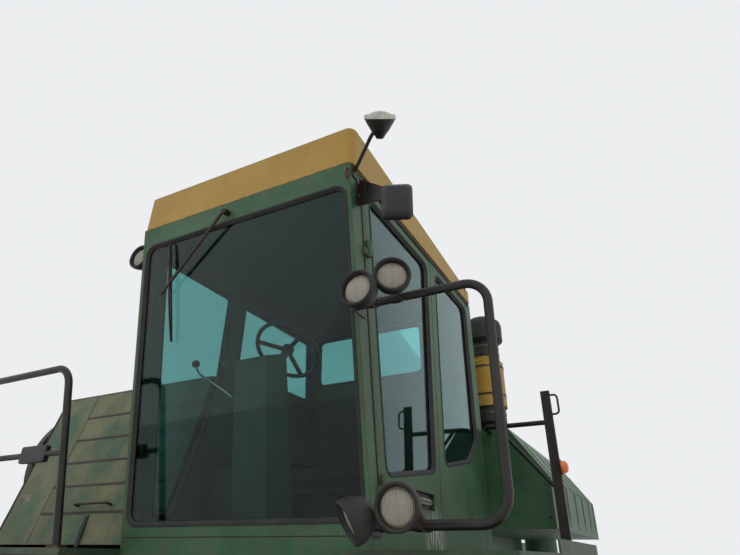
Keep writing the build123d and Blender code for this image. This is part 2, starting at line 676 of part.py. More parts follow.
# Feeder chain: two drums, three strands and cross slats
chain = []
ends = (0.0, feeder_length - 260.0)
for along in ends:
    centre = feeder_point(along, 0)
    chain.append(bar(
        (-inner_x + seat_gap, centre.Y, centre.Z), (inner_x - seat_gap, centre.Y, centre.Z), 30))
    for x in chain_strands:
        chain.append(bar((x - strand_half, centre.Y, centre.Z), (x + strand_half, centre.Y, centre.Z),
                         chain_drum_radius + strand_thick))
for x in chain_strands:
    for side in (-1, 1):
        low = chain_drum_radius if side > 0 else -chain_drum_radius - strand_thick
        chain.append(feeder_block(
            x - strand_half, x + strand_half, 0, ends[1], low, low + strand_thick))
half_slats = slat_count // 2
for index in range(half_slats):
    along = ends[1] * (index + 0.5) / half_slats
    for side in (-1, 1):
        low = chain_drum_radius + 5 if side > 0 else -chain_drum_radius - strand_thick - 30
        chain.append(feeder_block(
            -slat_half_width, slat_half_width, along - 18, along + 18, low, low + strand_thick + 25))
save("feeder_chain", joined(chain))

# Lift cylinders between the axle and the feeder house
lift_run = Vector(0, lift_head.Y - lift_foot[0], lift_head.Z - lift_foot[1])
lift_dir = lift_run.normalized()
barrels = []
rams = []
for sx in (-1, 1):
    foot = Vector(sx * lift_x, *lift_foot)
    head = Vector(sx * lift_x, lift_head.Y, lift_head.Z)
    barrel = bar(tuple(foot + lift_dir * 30), tuple(foot + lift_dir * barrel_length), barrel_radius)
    barrel += bar((foot.X - ear_half, foot.Y, foot.Z), (foot.X + ear_half, foot.Y, foot.Z), 42)
    barrel -= bar(
        tuple(foot + lift_dir * 70), tuple(foot + lift_dir * (barrel_length + 5)), ram_radius + running_gap)
    barrel -= bar((foot.X - 60, foot.Y, foot.Z), (foot.X + 60, foot.Y, foot.Z), lift_pin_radius + running_gap)
    barrels.append(barrel)
    ram = bar(tuple(foot + lift_dir * 330), tuple(head - lift_dir * (lift_pin_radius + ram_eye_play)), ram_radius)
    ram += bar((head.X - ear_half, head.Y, head.Z), (head.X + ear_half, head.Y, head.Z), ram_eye_radius)
    ram -= bar((head.X - 60, head.Y, head.Z), (head.X + 60, head.Y, head.Z), lift_pin_radius + ram_eye_play)
    rams.append(ram)
save("lift_barrels", joined(barrels))
save("lift_rams", joined(rams))

# Front axle: beam, final drives, spindles, lift cylinder pins
axle = block(
    -final_drive_x[0] - 10, final_drive_x[0] + 10, axle_y - axle_half_height, axle_y + axle_half_height,
    axle_z - axle_half_height, 950 - seat_gap)
for sx in (-1, 1):
    case = side_slab(
        ((axle_y - 150, axle_z - 150), (axle_y - 190, axle_z + 60), (axle_y - 110, axle_z + 330),
         (axle_y + 110, axle_z + 330), (axle_y + 190, axle_z + 60), (axle_y + 150, axle_z - 150)),
        min(sx * final_drive_x[0], sx * final_drive_x[1]), max(sx * final_drive_x[0], sx * final_drive_x[1]),
        corner=40)
    axle += case
    axle += bar((sx * (final_drive_x[1] - 5), axle_y, axle_z), (sx * 1330, axle_y, axle_z), spindle_radius)
    for side in (-1, 1):
        mid = sx * lift_x + side * (ear_half + 14)
        axle += block(mid - 8, mid + 8, lift_foot[0] - 45, axle_y - 60, lift_foot[1] - 45, axle_z - 20)
    axle += bar((sx * lift_x - ear_half - 20, *lift_foot), (sx * lift_x + ear_half + 20, *lift_foot),
                lift_pin_radius)
save("front_axle", axle)


def make_rim(radius, half, hub_radius, bore, hub_span, disc, flange, at, side):
    shell = 14.0
    profile = (
        (radius, -half + 8), (radius + flange, -half + 8), (radius + flange, -half), (radius - shell, -half),
        (radius - shell, disc), (hub_radius, disc - 40), (hub_radius, hub_span[0]), (bore, hub_span[0]),
        (bore, hub_span[1]), (hub_radius, hub_span[1]), (hub_radius, disc - 20), (radius - shell, disc + 20),
        (radius - shell, half), (radius + flange, half), (radius + flange, half - 8), (radius, half - 8))
    return turned(profile, at, (side, 0, 0))


def make_tyre(bead, radius, half, bead_half, at, side, shoulder):
    profile = (
        (bead, -bead_half), (bead + 30, -bead_half), (bead + (radius - bead) * 0.45, -half),
        (radius - shoulder, -half * 0.97), (radius, -half * 0.86), (radius, half * 0.86),
        (radius - shoulder, half * 0.97), (bead + (radius - bead) * 0.45, half),
        (bead + 30, bead_half), (bead, bead_half))
    return turned(profile, at, (side, 0, 0))


for name, side in (("left", 1), ("right", -1)):
    at = (side * track_x, axle_y, axle_z)
    save(f"drive_rim_{name}", make_rim(
        drive_rim_radius, drive_rim_half, 150, spindle_radius + running_gap, (-300, -90), -60, 24, at, side))
    save(f"drive_tyre_{name}", make_tyre(
        drive_rim_radius + seat_gap, drive_tyre_radius, drive_tyre_half, drive_rim_half - 8 - seat_gap,
        at, side, 70))

# Rear axle with steered knuckles
rear_beam = block(-king_x + 30, king_x - 30, rear_y - 60, rear_y + 60, 640, 780)
rear_beam += block(-140, 140, rear_y - 110, rear_y + 110, 700, 950 - seat_gap)
for sx in (-1, 1):
    rear_beam += bar((sx * king_x, rear_y, boss_z[0]), (sx * king_x, rear_y, boss_z[1]), boss_radius)
    rear_beam -= bar((sx * king_x, rear_y, boss_z[0] - 5), (sx * king_x, rear_y, boss_z[1] + 5),
                     king_radius + running_gap)
hitch = block(-60, 60, 2105, 2480, 880, 905)
hitch -= bar((0, 2420, 870), (0, 2420, 910), 16)
save("rear_axle", rear_beam + hitch)
arm_y = rear_y + arm_reach
for name, side in (("left", 1), ("right", -1)):
    x = side * king_x
    knuckle = bar((x, rear_y, 540), (x, rear_y, boss_z[1] + 28), king_radius)
    knuckle += bar((x, rear_y, boss_z[1] + seat_gap), (x, rear_y, boss_z[1] + 28), 46)
    knuckle += bar((x, rear_y, 500), (x, rear_y, boss_z[0] - seat_gap), 52)
    knuckle += bar((x, rear_y, rear_tyre_radius), (side * (rear_track_x + 40), rear_y, rear_tyre_radius),
                   rear_spindle_radius)
    knuckle += plan_slab(
        ((x - 35, rear_y), (x + 35, rear_y), (x + 32, arm_y + 30), (x - 32, arm_y + 30)), 505, 535)
    knuckle -= bar((x, arm_y, 500), (x, arm_y, 540), tie_pin_radius + running_gap)
    save(f"knuckle_{name}", knuckle)
    at = (side * rear_track_x, rear_y, rear_tyre_radius)
    save(f"rear_rim_{name}", make_rim(
        rear_rim_radius, rear_rim_half, 80, rear_spindle_radius + running_gap, (-100, 20), 20, 20, at, side))
    save(f"rear_tyre_{name}", make_tyre(
        rear_rim_radius + seat_gap, rear_tyre_radius, rear_tyre_half, rear_rim_half - 8 - seat_gap,
        at, side, 40))
tie = bar((-king_x, arm_y, tie_z), (king_x, arm_y, tie_z), tie_radius)
for sx in (-1, 1):
    x = sx * king_x
    tie += bar((x, arm_y, 465), (x, arm_y, 505 - seat_gap), 30)
    tie += bar((x, arm_y, 480), (x, arm_y, 540), tie_pin_radius)
save("tie_rod", tie)

# Straw hood, open below, with the spreader's cross bar and the auger's saddle
hood = side_slab(hood_side, -hull_half_width, hull_half_width)
hood_room_side = (
    (hood_y[0] - 5, 1949.7 - hood_wall), (3335.0, 1949.7 - hood_wall), (3850 - hood_wall, 1580.0),
    (3850 - hood_wall, 900.0), (hood_y[0] - 5, 900.0))
hood -= side_slab(hood_room_side, -hull_half_width + hood_wall, hull_half_width - hood_wall)
hood += block(
    -hull_half_width + 20, hull_half_width - 20, spreader_y - 40, spreader_y + 40,
    spreader_bar_z, spreader_bar_z + 50)
for sx in (-1, 1):
    hood += bar((sx * spreader_x, spreader_y, spreader_z[0] - 8),
                (sx * spreader_x, spreader_y, spreader_bar_z + 5), 20)
hood += block(690, 760, 3180, 3230, 1940, 2300)
hood += block(700, 1030, 3180, 3230, 2260, 2300)
save("straw_hood", hood)
for name, side in (("left", 1), ("right", -1)):
    at = (side * spreader_x, spreader_y)
    disc = Pos(0, 0, (spreader_z[0] + spreader_z[1]) / 2) * Cylinder(
        spreader_radius * 0.6, spreader_z[1] - spreader_z[0])
    disc += Pos(0, 0, spreader_z[1] + 30) * Cylinder(45, 80)
    for index in range(spreader_bats):
        bat = Pos(spreader_radius * 0.62, 0, spreader_z[1] + 25) * Box(spreader_radius * 0.76, 8, 60)
        disc += Rot(0, 0, 360 / spreader_bats * index) * bat
    disc -= Pos(0, 0, 1000) * Cylinder(20 + running_gap, 400)
    save(f"spreader_{name}", Pos(*at, 0) * disc)

# Unloading auger folded back towards the rear on its turning collar
stand = bar((*auger_at, 1400), (*auger_at, auger_turn_z - seat_gap), auger_stand_radius)
stand -= bar((*auger_at, 1460), (*auger_at, auger_turn_z + 5), auger_stand_radius - 12)
stand += block(1000, auger_at[0] - 40, tank_y[1] + seat_gap, auger_at[1] - 60, 2010, 2180) \
    - bar((*auger_at, 1900), (*auger_at, 2300), auger_stand_radius - 5)
save("auger_stand", stand)
auger_dir = Vector(-sin(auger_toe), cos(auger_toe), 0)
turn_top = Vector(*auger_at, auger_z)
auger_tip = turn_top + auger_dir * auger_length
tube = bar((*auger_at, auger_turn_z), (*auger_at, auger_z + auger_radius + 30), auger_stand_radius)
tube += bar(tuple(turn_top), tuple(auger_tip), auger_radius)
tube += bar(tuple(auger_tip - auger_dir * 140), tuple(auger_tip - auger_dir * 140 - Vector(0, 0, 260)), 130)
tube -= bar((*auger_at, auger_turn_z - 5), (*auger_at, auger_z + auger_radius + 18), auger_stand_radius - 12)
tube -= bar(tuple(turn_top), tuple(auger_tip - auger_dir * 12), auger_radius - auger_wall)
tube -= bar(tuple(auger_tip - auger_dir * 140), tuple(auger_tip - auger_dir * 140 - Vector(0, 0, 270)), 122)
save("unloading_auger", tube)

# Air cleaner: boot, canister, neck and pre-cleaner bowl
canister = turned(
    ((0, 230), (140, 230), (140, 600), (120, 620), (120, 640), (0, 640)), (*cleaner_at, cleaner_foot_z), (0, 0, 1))
save("air_cleaner", canister)
boot = turned(
    ((0, 0), (150, 0), (150, 20), (100, 60), (100, 90), (125, 110), (125, 229.7), (0, 229.7)),
    (*cleaner_at, cleaner_foot_z), (0, 0, 1))
bowl = turned(
    ((0, 640.3), (118, 640.3), (118, 770), (158, 800), (160, 930), (150, 965), (110, 1000), (0, 1016)),
    (*cleaner_at, cleaner_foot_z), (0, 0, 1))
save("cleaner_rubber", Compound(children=[boot.solid(), bowl.solid()]))

# Work lamps: rubber cups on stalks with glass lenses
lamp_profile = (
    (0, 0), (30, 0), (58, 22), (lamp_radius, 70), (lamp_radius, lamp_depth), (lens_radius + 1.5, lamp_depth),
    (lens_radius + seat_gap, lamp_depth - lens_recess), (lens_radius + seat_gap, lamp_depth - 32),
    (0, lamp_depth - 32))
lens_profile = (
    (0, 0), (lens_radius, 0), (lens_radius, 12), (lens_radius * 0.7, 19), (0, lens_thick))
cups = []
lenses = []
stalk_ends = (
    (1440.0, grab_y, grab_top_z + rail_radius), (1560.0, grab_y, grab_top_z + rail_radius),
    (1500.0, grab_y, grab_low_z + rail_radius), (1640.0, grab_y, grab_low_z + rail_radius))
for row, stalk_end in zip(work_lamp_table, stalk_ends):
    face = Vector(*row[:3])
    way = Vector(*row[3:]).normalized()
    back = face - way * lamp_depth
    cup = turned(lamp_profile, tuple(back), tuple(way))
    foot = Vector(*stalk_end)
    cup += bar(tuple(back + way * 8), tuple(foot + Vector(0, 0, 14)), stalk_radius)
    cup += block(foot.X - 14, foot.X + 14, foot.Y - 14, foot.Y + 14, foot.Z + seat_gap, foot.Z + 22)
    cups.append(cup)
    lenses.append(turned(lens_profile, tuple(back + way * (lamp_depth - 32 + seat_gap)), tuple(way)))
save("lamp_lenses", joined(lenses))
top_way = Vector(*top_lamp_facing).normalized()
top_face = Vector(*top_lamp_at)
top_lamp = turned(
    ((0, 0), (16, 0), (34, 40), (top_lamp_radius, 105), (top_lamp_radius, 118), (0, 112)),
    tuple(top_face - top_way * 118), tuple(top_way))
foot_x = cab_left + seat_gap
top_lamp += bent_bar(
    (tuple(top_face - top_way * 112), (1560, -2990, 3480), (foot_x + 4, -2835, 3400)), 8, 30)
top_lamp &= block(foot_x, 2000, -3300, -2700, 3300, 3800)
top_lamp += block(foot_x, foot_x + foot_plate, -2860, -2800, 3370, 3430)
right_lamp = turned(
    ((0, 0), (30, 0), (60, 40), (60, 80), (0, 84)), (-190, -2770, 3420), (0, -1, 0))
right_lamp += bar((-190, -2800, 3420), (cab_right - seat_gap, -2800, 3420), 10)
save("work_lamps", Compound(children=[*joined(cups).solids(), top_lamp.solid(), right_lamp.solid()]))
amber = bar((post_at[0] + 30 + seat_gap, post_at[1], 2300), (post_at[0] + 60, post_at[1], 2300), amber_radius)
save("amber_lamp", amber)
mirror_head = Pos(*mirror_at) * fillet(Box(*mirror_size).edges().filter_by(Axis.Y), 30)
mirror_arm = bar((foot_x + 4, -2815, 3200), (mirror_at[0] - 20, mirror_at[1] + 10, 3190), 12)
mirror_head += mirror_arm & block(foot_x, 2000, -3300, -2700, 3000, 3400)
mirror_head += block(foot_x, foot_x + foot_plate, -2830, -2770, 3170, 3230)
save("mirror", mirror_head)

# Wiper: arm and blade over the windshield's right part
wiper_pivot = wind_plane.to_local_coords(Vector(560, lean_y(3500), 3500))
wiper = extrude(
    wind_plane * Pos(wiper_pivot.X, wiper_pivot.Y, seat_gap) * Circle(16), amount=45)
wiper += bar(
    tuple(wind_plane.from_local_coords((wiper_pivot.X, wiper_pivot.Y, 35))),
    tuple(wind_plane.from_local_coords((-475.0, 1250.0, 12))), 6)
wiper += bar(
    tuple(wind_plane.from_local_coords((-490.0, 1560.0, 8))),
    tuple(wind_plane.from_local_coords((-470.0, 900.0, 8))), 7)
save("wiper", wiper)
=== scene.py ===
import json
import bmesh
import bpy
import numpy as np
from mathutils import Matrix, Vector


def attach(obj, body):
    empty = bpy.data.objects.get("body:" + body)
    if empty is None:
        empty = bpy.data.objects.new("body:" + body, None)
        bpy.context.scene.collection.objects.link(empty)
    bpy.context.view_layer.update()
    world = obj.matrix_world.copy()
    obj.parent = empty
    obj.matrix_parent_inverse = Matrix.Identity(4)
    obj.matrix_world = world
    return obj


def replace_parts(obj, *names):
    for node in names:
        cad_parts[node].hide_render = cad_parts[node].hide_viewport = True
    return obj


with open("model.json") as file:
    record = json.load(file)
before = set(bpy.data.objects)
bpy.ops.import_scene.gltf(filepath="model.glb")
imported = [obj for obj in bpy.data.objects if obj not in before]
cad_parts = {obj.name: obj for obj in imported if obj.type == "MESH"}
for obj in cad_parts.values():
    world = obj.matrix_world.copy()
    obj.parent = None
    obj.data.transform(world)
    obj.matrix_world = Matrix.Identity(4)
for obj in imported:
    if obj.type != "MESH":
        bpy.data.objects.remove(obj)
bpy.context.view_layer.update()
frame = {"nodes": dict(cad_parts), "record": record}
nodes = frame["nodes"]
print("frame loaded:", len(nodes), "nodes")


def linearColour(text):
    # sRGB hex to linear: below 0.04045 divided by 12.92, above it ((c + 0.055) / 1.055) ** 2.4
    parts = np.array([int(text[i:i + 2], 16) for i in (1, 3, 5)]) / 255.0
    low = parts / 12.92
    high = ((parts + 0.055) / 1.055) ** 2.4
    return (*np.where(parts <= 0.04045, low, high).tolist(), 1.0)


def addNode(tree, kind, settings=None, **links):
    # One node with its settings; links go to inputs by name or number (i6), as values, sockets or nodes,
    # where a node stands for its first output in use
    node = tree.nodes.new("ShaderNode" + kind)
    for key, value in (settings or {}).items():
        setattr(node, key, value)
    for key, value in links.items():
        socket = node.inputs[int(key[1:]) if key[1:].isdigit() else key.replace("_", " ")]
        if isinstance(value, bpy.types.Node):
            value = next(output for output in value.outputs if output.enabled)
        if isinstance(value, bpy.types.NodeSocket):
            tree.links.new(value, socket)
        else:
            socket.default_value = value
    return node


def newMaterial(name):
    # An empty material, its node tree, and the object coordinates that its textures read
    material = bpy.data.materials.new(name)
    material.use_nodes = True
    tree = material.node_tree
    tree.nodes.clear()
    return material, tree, addNode(tree, "TexCoord").outputs["Object"]


def meshPoints(mesh):
    # A mesh's points, one row each
    points = np.empty(len(mesh.vertices) * 3)
    mesh.vertices.foreach_get("co", points)
    return points.reshape(-1, 3)


def meshPiece(name, parts, material, body="machine", sharp=35.0):
    # Joins (points, faces) parts into one mesh object that rides on a body
    points, faces, start = [], [], 0
    for partPoints, partFaces in parts:
        points.append(np.asarray(partPoints, float).reshape(-1, 3))
        faces.extend([tuple(int(i) + start for i in face) for face in partFaces])
        start += len(points[-1])
    mesh = bpy.data.meshes.new(name)
    mesh.from_pydata(np.concatenate(points).tolist(), [], faces)
    mesh.validate()
    shell = bmesh.new()
    shell.from_mesh(mesh)
    bmesh.ops.recalc_face_normals(shell, faces=shell.faces)
    shell.to_mesh(mesh)
    shell.free()
    mesh.polygons.foreach_set("use_smooth", np.ones(len(mesh.polygons), bool))
    mesh.set_sharp_from_angle(angle=np.radians(sharp))
    mesh.materials.append(material)
    piece = bpy.data.objects.new(name, mesh)
    bpy.context.scene.collection.objects.link(piece)
    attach(piece, body)
    return piece


def unit(way):
    # The same direction at length one
    way = np.asarray(way, float)
    return way / np.linalg.norm(way)


def ringLoft(rings, capStart=True, capEnd=True, wrap=False):
    # Quads between successive rings of equal point count; the first and last ring may be capped
    rings = np.asarray(rings, float)
    count, size = rings.shape[:2]
    last = count if wrap else count - 1
    row, col = np.meshgrid(np.arange(last), np.arange(size), indexing="ij")
    nextRow, nextCol = (row + 1) % count, (col + 1) % size
    near, far = row * size, nextRow * size
    quads = np.stack([near + col, near + nextCol, far + nextCol, far + col], -1)
    faces = [tuple(quad) for quad in quads.reshape(-1, 4)]
    if not wrap and capStart:
        faces.append(tuple(range(size))[::-1])
    if not wrap and capEnd:
        faces.append(tuple(range((count - 1) * size, count * size)))
    return rings.reshape(-1, 3), faces


def swept(path, section, across, lift):
    # A section's points (u, v) at each place of a path: place + u across + v lift
    section = np.asarray(section, float)
    across, lift = np.atleast_2d(across)[:, None, :], np.atleast_2d(lift)[:, None, :]
    return path[:, None, :] + section[None, :, 0, None] * across + section[None, :, 1, None] * lift


def basis(direction):
    # Side, up and forward unit vectors: side = z x forward, or y x forward where that is nearly upright, and
    # up = forward x side
    forward = unit(direction)
    upright = abs(forward[2]) > 0.98
    side = unit(np.cross((0.0, 1.0, 0.0) if upright else (0.0, 0.0, 1.0), forward))
    return side, np.cross(forward, side), forward


def turnedPart(profile, origin, direction, steps=48, capStart=True, capEnd=True):
    # Lathe: each (radius, distance) of the profile is carried round the axis, x = r cos t, y = r sin t
    side, up, forward = basis(direction)
    profile = np.asarray(profile, float)
    angle = np.linspace(0, 2 * np.pi, steps, endpoint=False)
    radius = np.maximum(profile[:, 0], 1e-5)[:, None, None]
    rings = (np.asarray(origin, float) + profile[:, 1][:, None, None] * forward
             + radius * (np.cos(angle)[None, :, None] * side + np.sin(angle)[None, :, None] * up))
    return ringLoft(rings, capStart, capEnd)


def turnedRing(section, origin, direction, steps=64):
    # Lathe of a closed section of (radius, distance) points: the last ring joins the first
    points, faces = turnedPart(section, origin, direction, steps, False, False)
    col = np.arange(steps)
    nextCol = (col + 1) % steps
    base = (len(section) - 1) * steps
    return points, faces + [tuple(quad) for quad in np.stack([base + col, base + nextCol, nextCol, col], -1)]


def smoothPath(points, bend, steps=7):
    # Straight runs joined by curves (1 - t)^2 start + 2 t (1 - t) corner + t^2 end, bend long at each side
    points = np.asarray(points, float)
    out = [points[0]]
    for before, corner, after in zip(points[:-2], points[1:-1], points[2:]):
        start = corner + (before - corner) / np.linalg.norm(before - corner) * bend
        end = corner + (after - corner) / np.linalg.norm(after - corner) * bend
        t = np.linspace(0, 1, steps)[:, None]
        out.extend((1 - t) ** 2 * start + 2 * t * (1 - t) * corner + t ** 2 * end)
    out.append(points[-1])
    return np.array(out)


def tubePart(path, radius, sides=14, up=(0.0, 0.0, 1.0), section=None, wrap=False):
    # A circle r (cos t, sin t), or the section given, stands square to the path's tangent at each place
    path = np.asarray(path, float)
    tangent = np.roll(path, -1, 0) - np.roll(path, 1, 0) if wrap else np.gradient(path, axis=0)
    tangent /= np.linalg.norm(tangent, axis=1)[:, None]
    reference = np.tile(np.asarray(up, float), (len(path), 1))
    reference[np.abs((tangent * reference).sum(1)) > 0.95] = (0.31, 0.95, 0.05)
    side = np.cross(reference, tangent)
    side /= np.linalg.norm(side, axis=1)[:, None]
    if section is None:
        angle = np.linspace(0, 2 * np.pi, sides, endpoint=False)
        section = np.stack([np.cos(angle), np.sin(angle)], 1) * radius
    return ringLoft(swept(path, section, side, np.cross(tangent, side)), not wrap, not wrap, wrap)


def roundedOutline(width, height, corner, steps=6):
    # Rounded rectangle: four quarter circles of the corner radius, joined by straight sides
    angle = np.linspace(0, np.pi / 2, steps)
    out = []
    for k, (sx, sy) in enumerate(((1, 1), (-1, 1), (-1, -1), (1, -1))):
        turn = angle + k * np.pi / 2
        centre = np.array([sx * (width / 2 - corner), sy * (height / 2 - corner)])
        out.append(centre + corner * np.stack([np.cos(turn), np.sin(turn)], 1))
    return np.concatenate(out)


def platePart(outline, origin, across, up, thick, bevel=0.002):
    # A plate from a flat outline: two full rings between two that are inset by the bevel
    across, up = unit(across), unit(up)
    normal = np.cross(across, up)
    outline = np.asarray(outline, float)
    inward = outline.mean(0) - outline
    inset = outline + inward / np.maximum(np.linalg.norm(inward, axis=1), 1e-6)[:, None] * bevel
    rings = [np.asarray(origin, float) + ring[:, :1] * across + ring[:, 1:] * up + depth * normal
             for ring, depth in ((inset, 0.0), (outline, bevel), (outline, thick - bevel), (inset, thick))]
    return ringLoft(rings)


def boxPart(low, high, corner=0.003):
    # A block between two corners: a rounded outline in x and z, carried along y with bevelled ends
    low, high = np.asarray(low, float), np.asarray(high, float)
    wide, deep, tall = high - low
    corner = min(corner, wide * 0.45, tall * 0.45)
    origin = ((low[0] + high[0]) / 2, high[1], (low[2] + high[2]) / 2)
    outline = roundedOutline(wide, tall, corner, 4)
    return platePart(outline, origin, (1, 0, 0), (0, 0, 1), deep, min(0.0015, deep * 0.3))


# the camera at the photograph's place, angles in radians
photoCamera = dict(spot=(2.434, -4.703, 1.777), yaw=0.4845, pitch=0.4893, roll=0.0122, focalPixels=524.83,
                   widthPixels=740, sensor=36.0, clip=(0.05, 200.0))


def makeCamera(look):
    # Forward from yaw and pitch, side and up turned by the roll about it
    yaw, pitch, roll = look["yaw"], look["pitch"], look["roll"]
    forward = np.array([-np.sin(yaw) * np.cos(pitch), np.cos(yaw) * np.cos(pitch), np.sin(pitch)])
    side = np.array([np.cos(yaw), np.sin(yaw), 0.0])
    up = np.cross(side, forward)
    data = bpy.data.cameras.new("photoCamera")
    data.sensor_fit = "HORIZONTAL"
    data.sensor_width = look["sensor"]
    data.lens = look["focalPixels"] / look["widthPixels"] * look["sensor"]
    data.clip_start, data.clip_end = look["clip"]
    camera = bpy.data.objects.new("photoCamera", data)
    matrix = Matrix.Identity(4)
    turnedSide = side * np.cos(roll) + up * np.sin(roll)
    turnedUp = -side * np.sin(roll) + up * np.cos(roll)
    for col, values in enumerate((turnedSide, turnedUp, -forward, look["spot"])):
        for row in range(3):
            matrix[row][col] = values[row]
    camera.matrix_world = matrix
    bpy.context.scene.collection.objects.link(camera)
    bpy.context.scene.camera = camera


makeCamera(photoCamera)
print("camera set")

# paints: tones of the paint, its faded patches, dirt and rust; roughness span, wear of the edges, and where
# given the span and scale of fading, a scuffed place, and the streaks' strength
agedEnamel = dict(
    green=dict(tones=("#23472c", "#47664c", "#4b4433", "#5a3320"), rough=(0.38, 0.68), wear=0.5),
    shell=dict(tones=("#244a2e", "#4d6a52", "#4d4635", "#5c3521"), rough=(0.40, 0.72), wear=0.6,
               scuff=(1.355, -1.897, 1.852), scuffReach=0.17, scuffTone="#a9a795"),
    cover=dict(tones=("#28482e", "#6c6a4e", "#54492f", "#5c3521"), rough=(0.42, 0.74), wear=0.6,
               fade=(0.40, 0.66), fadeScale=3.4),
    frame=dict(tones=("#1f3d27", "#3b5440", "#453e30", "#553120"), rough=(0.45, 0.75), wear=0.8),
    mustard=dict(tones=("#97762c", "#a58a4a", "#5e5138", "#6a4324"), rough=(0.42, 0.70), wear=0.45,
                 streak=0.16),
    wheel=dict(tones=("#b8932a", "#bfa04d", "#5b4d36", "#6b4021"), rough=(0.40, 0.70), wear=0.7),
    rail=dict(tones=("#0f0d0c", "#1f1a18", "#3a332a", "#4a2a1b"), rough=(0.35, 0.62), wear=0.7))


def mottledMaterial(name, base, other, noise, span):
    # A material that drifts from one colour to another in soft patches, with its noise and colour nodes
    material, tree, place = newMaterial(name)
    wide = addNode(tree, "TexNoise", Vector=place, **noise)
    patch = addNode(tree, "MapRange", Value=wide, From_Min=span[0], From_Max=span[1])
    colour = addNode(tree, "Mix", {"data_type": "RGBA"}, Factor=patch, i6=linearColour(base),
                     i7=linearColour(other))
    return material, tree, place, wide, colour


def enamelPaint(name, finish):
    # Baked enamel on sheet steel, decades outdoors: chalky fading, run-down dirt, rust at chipped edges
    base, faded, dirt, rust = finish["tones"]
    fadeLook = dict(Scale=finish.get("fadeScale", 1.7), Detail=6.0, Roughness=0.62)
    material, tree, place, fadeNoise, colour = mottledMaterial(name, base, faded, fadeLook,
                                                               finish.get("fade", (0.42, 0.78)))
    # speckled fading about 12 mm across
    fineNoise = addNode(tree, "TexNoise", Vector=place, Scale=80.0, Detail=3.0)
    fine = addNode(tree, "MapRange", Value=fineNoise, From_Min=0.3, From_Max=0.7, To_Min=0.86, To_Max=1.12)
    colour = addNode(tree, "Mix", {"data_type": "RGBA", "blend_type": "MULTIPLY"}, Factor=1.0, i6=colour,
                     i7=fine)
    # rain streaks: noise squeezed to 60 mm across and drawn out down the panel
    stretched = addNode(tree, "Mapping", Vector=place, Scale=(16.0, 16.0, 1.1))
    streakNoise = addNode(tree, "TexNoise", Vector=stretched, Scale=1.0, Detail=4.0)
    streak = addNode(tree, "MapRange", Value=streakNoise, From_Min=0.5, From_Max=0.8,
                     To_Max=finish.get("streak", 0.55))
    # dust settles on faces that look up
    normal = addNode(tree, "NewGeometry").outputs["Normal"]
    upward = addNode(tree, "SeparateXYZ", Vector=normal).outputs["Z"]
    dust = addNode(tree, "MapRange", Value=upward, From_Min=0.45, From_Max=1.0, To_Max=0.45)
    soil = addNode(tree, "Math", {"operation": "MAXIMUM"}, i0=streak, i1=dust)
    colour = addNode(tree, "Mix", {"data_type": "RGBA"}, Factor=soil, i6=colour, i7=linearColour(dirt))
    if "scuff" in finish:
        # a rubbed, chalky patch round one place, broken up by streaks
        away = addNode(tree, "VectorMath", {"operation": "DISTANCE"}, i0=place, i1=finish["scuff"])
        near = addNode(tree, "MapRange", Value=away, From_Min=finish["scuffReach"], From_Max=0.04)
        scratches = addNode(tree, "Mapping", Vector=place, Scale=(60.0, 60.0, 9.0))
        scratchNoise = addNode(tree, "TexNoise", Vector=scratches, Scale=1.0, Detail=5.0)
        rubbed = addNode(tree, "MapRange", Value=scratchNoise, From_Min=0.44, From_Max=0.60)
        patch = addNode(tree, "Math", {"operation": "MULTIPLY"}, i0=near, i1=rubbed)
        colour = addNode(tree, "Mix", {"data_type": "RGBA"}, Factor=patch, i6=colour,
                         i7=linearColour(finish["scuffTone"]))
    # chips: where the rounded normal turns away from the true one, broken up by noise
    rounded = addNode(tree, "Bevel", {"samples": 3}, Radius=0.012)
    agree = addNode(tree, "VectorMath", {"operation": "DOT_PRODUCT"}, i0=rounded, i1=normal)
    chipNoise = addNode(tree, "TexNoise", Vector=place, Scale=26.0, Detail=6.0, Roughness=0.7)
    edge = addNode(tree, "MapRange", Value=agree, From_Min=0.995, From_Max=0.90)
    chip = addNode(tree, "Math", {"operation": "MULTIPLY"}, i0=edge, i1=chipNoise)
    spotNoise = addNode(tree, "TexNoise", Vector=place, Scale=7.0, Detail=8.0, Roughness=0.75)
    spots = addNode(tree, "MapRange", Value=spotNoise, From_Min=0.68, From_Max=0.74)
    chips = addNode(tree, "MapRange", Value=chip, From_Min=0.46 - 0.1 * finish["wear"],
                    From_Max=0.56 - 0.1 * finish["wear"])
    bare = addNode(tree, "Math", {"operation": "MAXIMUM"}, i0=chips, i1=spots)
    colour = addNode(tree, "Mix", {"data_type": "RGBA"}, Factor=bare, i6=colour, i7=linearColour(rust))
    rough = addNode(tree, "MapRange", Value=fadeNoise, From_Min=0.3, From_Max=0.75,
                    To_Min=finish["rough"][0], To_Max=finish["rough"][1])
    rough = addNode(tree, "Math", {"operation": "MAXIMUM"}, i0=rough, i1=bare)
    # shallow dents a hand across and orange peel a few millimetres across
    dentNoise = addNode(tree, "TexNoise", Vector=place, Scale=5.0, Detail=1.0)
    dents = addNode(tree, "Bump", Strength=0.18, Distance=0.02, Height=dentNoise)
    peel = addNode(tree, "Bump", Strength=0.12, Distance=0.0015, Height=chipNoise, Normal=dents)
    shader = addNode(tree, "BsdfPrincipled", Base_Color=colour, Roughness=rough, Normal=peel)
    addNode(tree, "OutputMaterial", Surface=shader)
    return material


def tintedGlass(name, tint):
    # Laminated cab glass: flat and clear, tinted blue-green through its thickness
    material, tree, _ = newMaterial(name)
    shader = addNode(tree, "BsdfPrincipled", Base_Color=linearColour(tint), Roughness=0.0, IOR=1.3,
                     Transmission_Weight=1.0)
    addNode(tree, "OutputMaterial", Surface=shader)
    return material


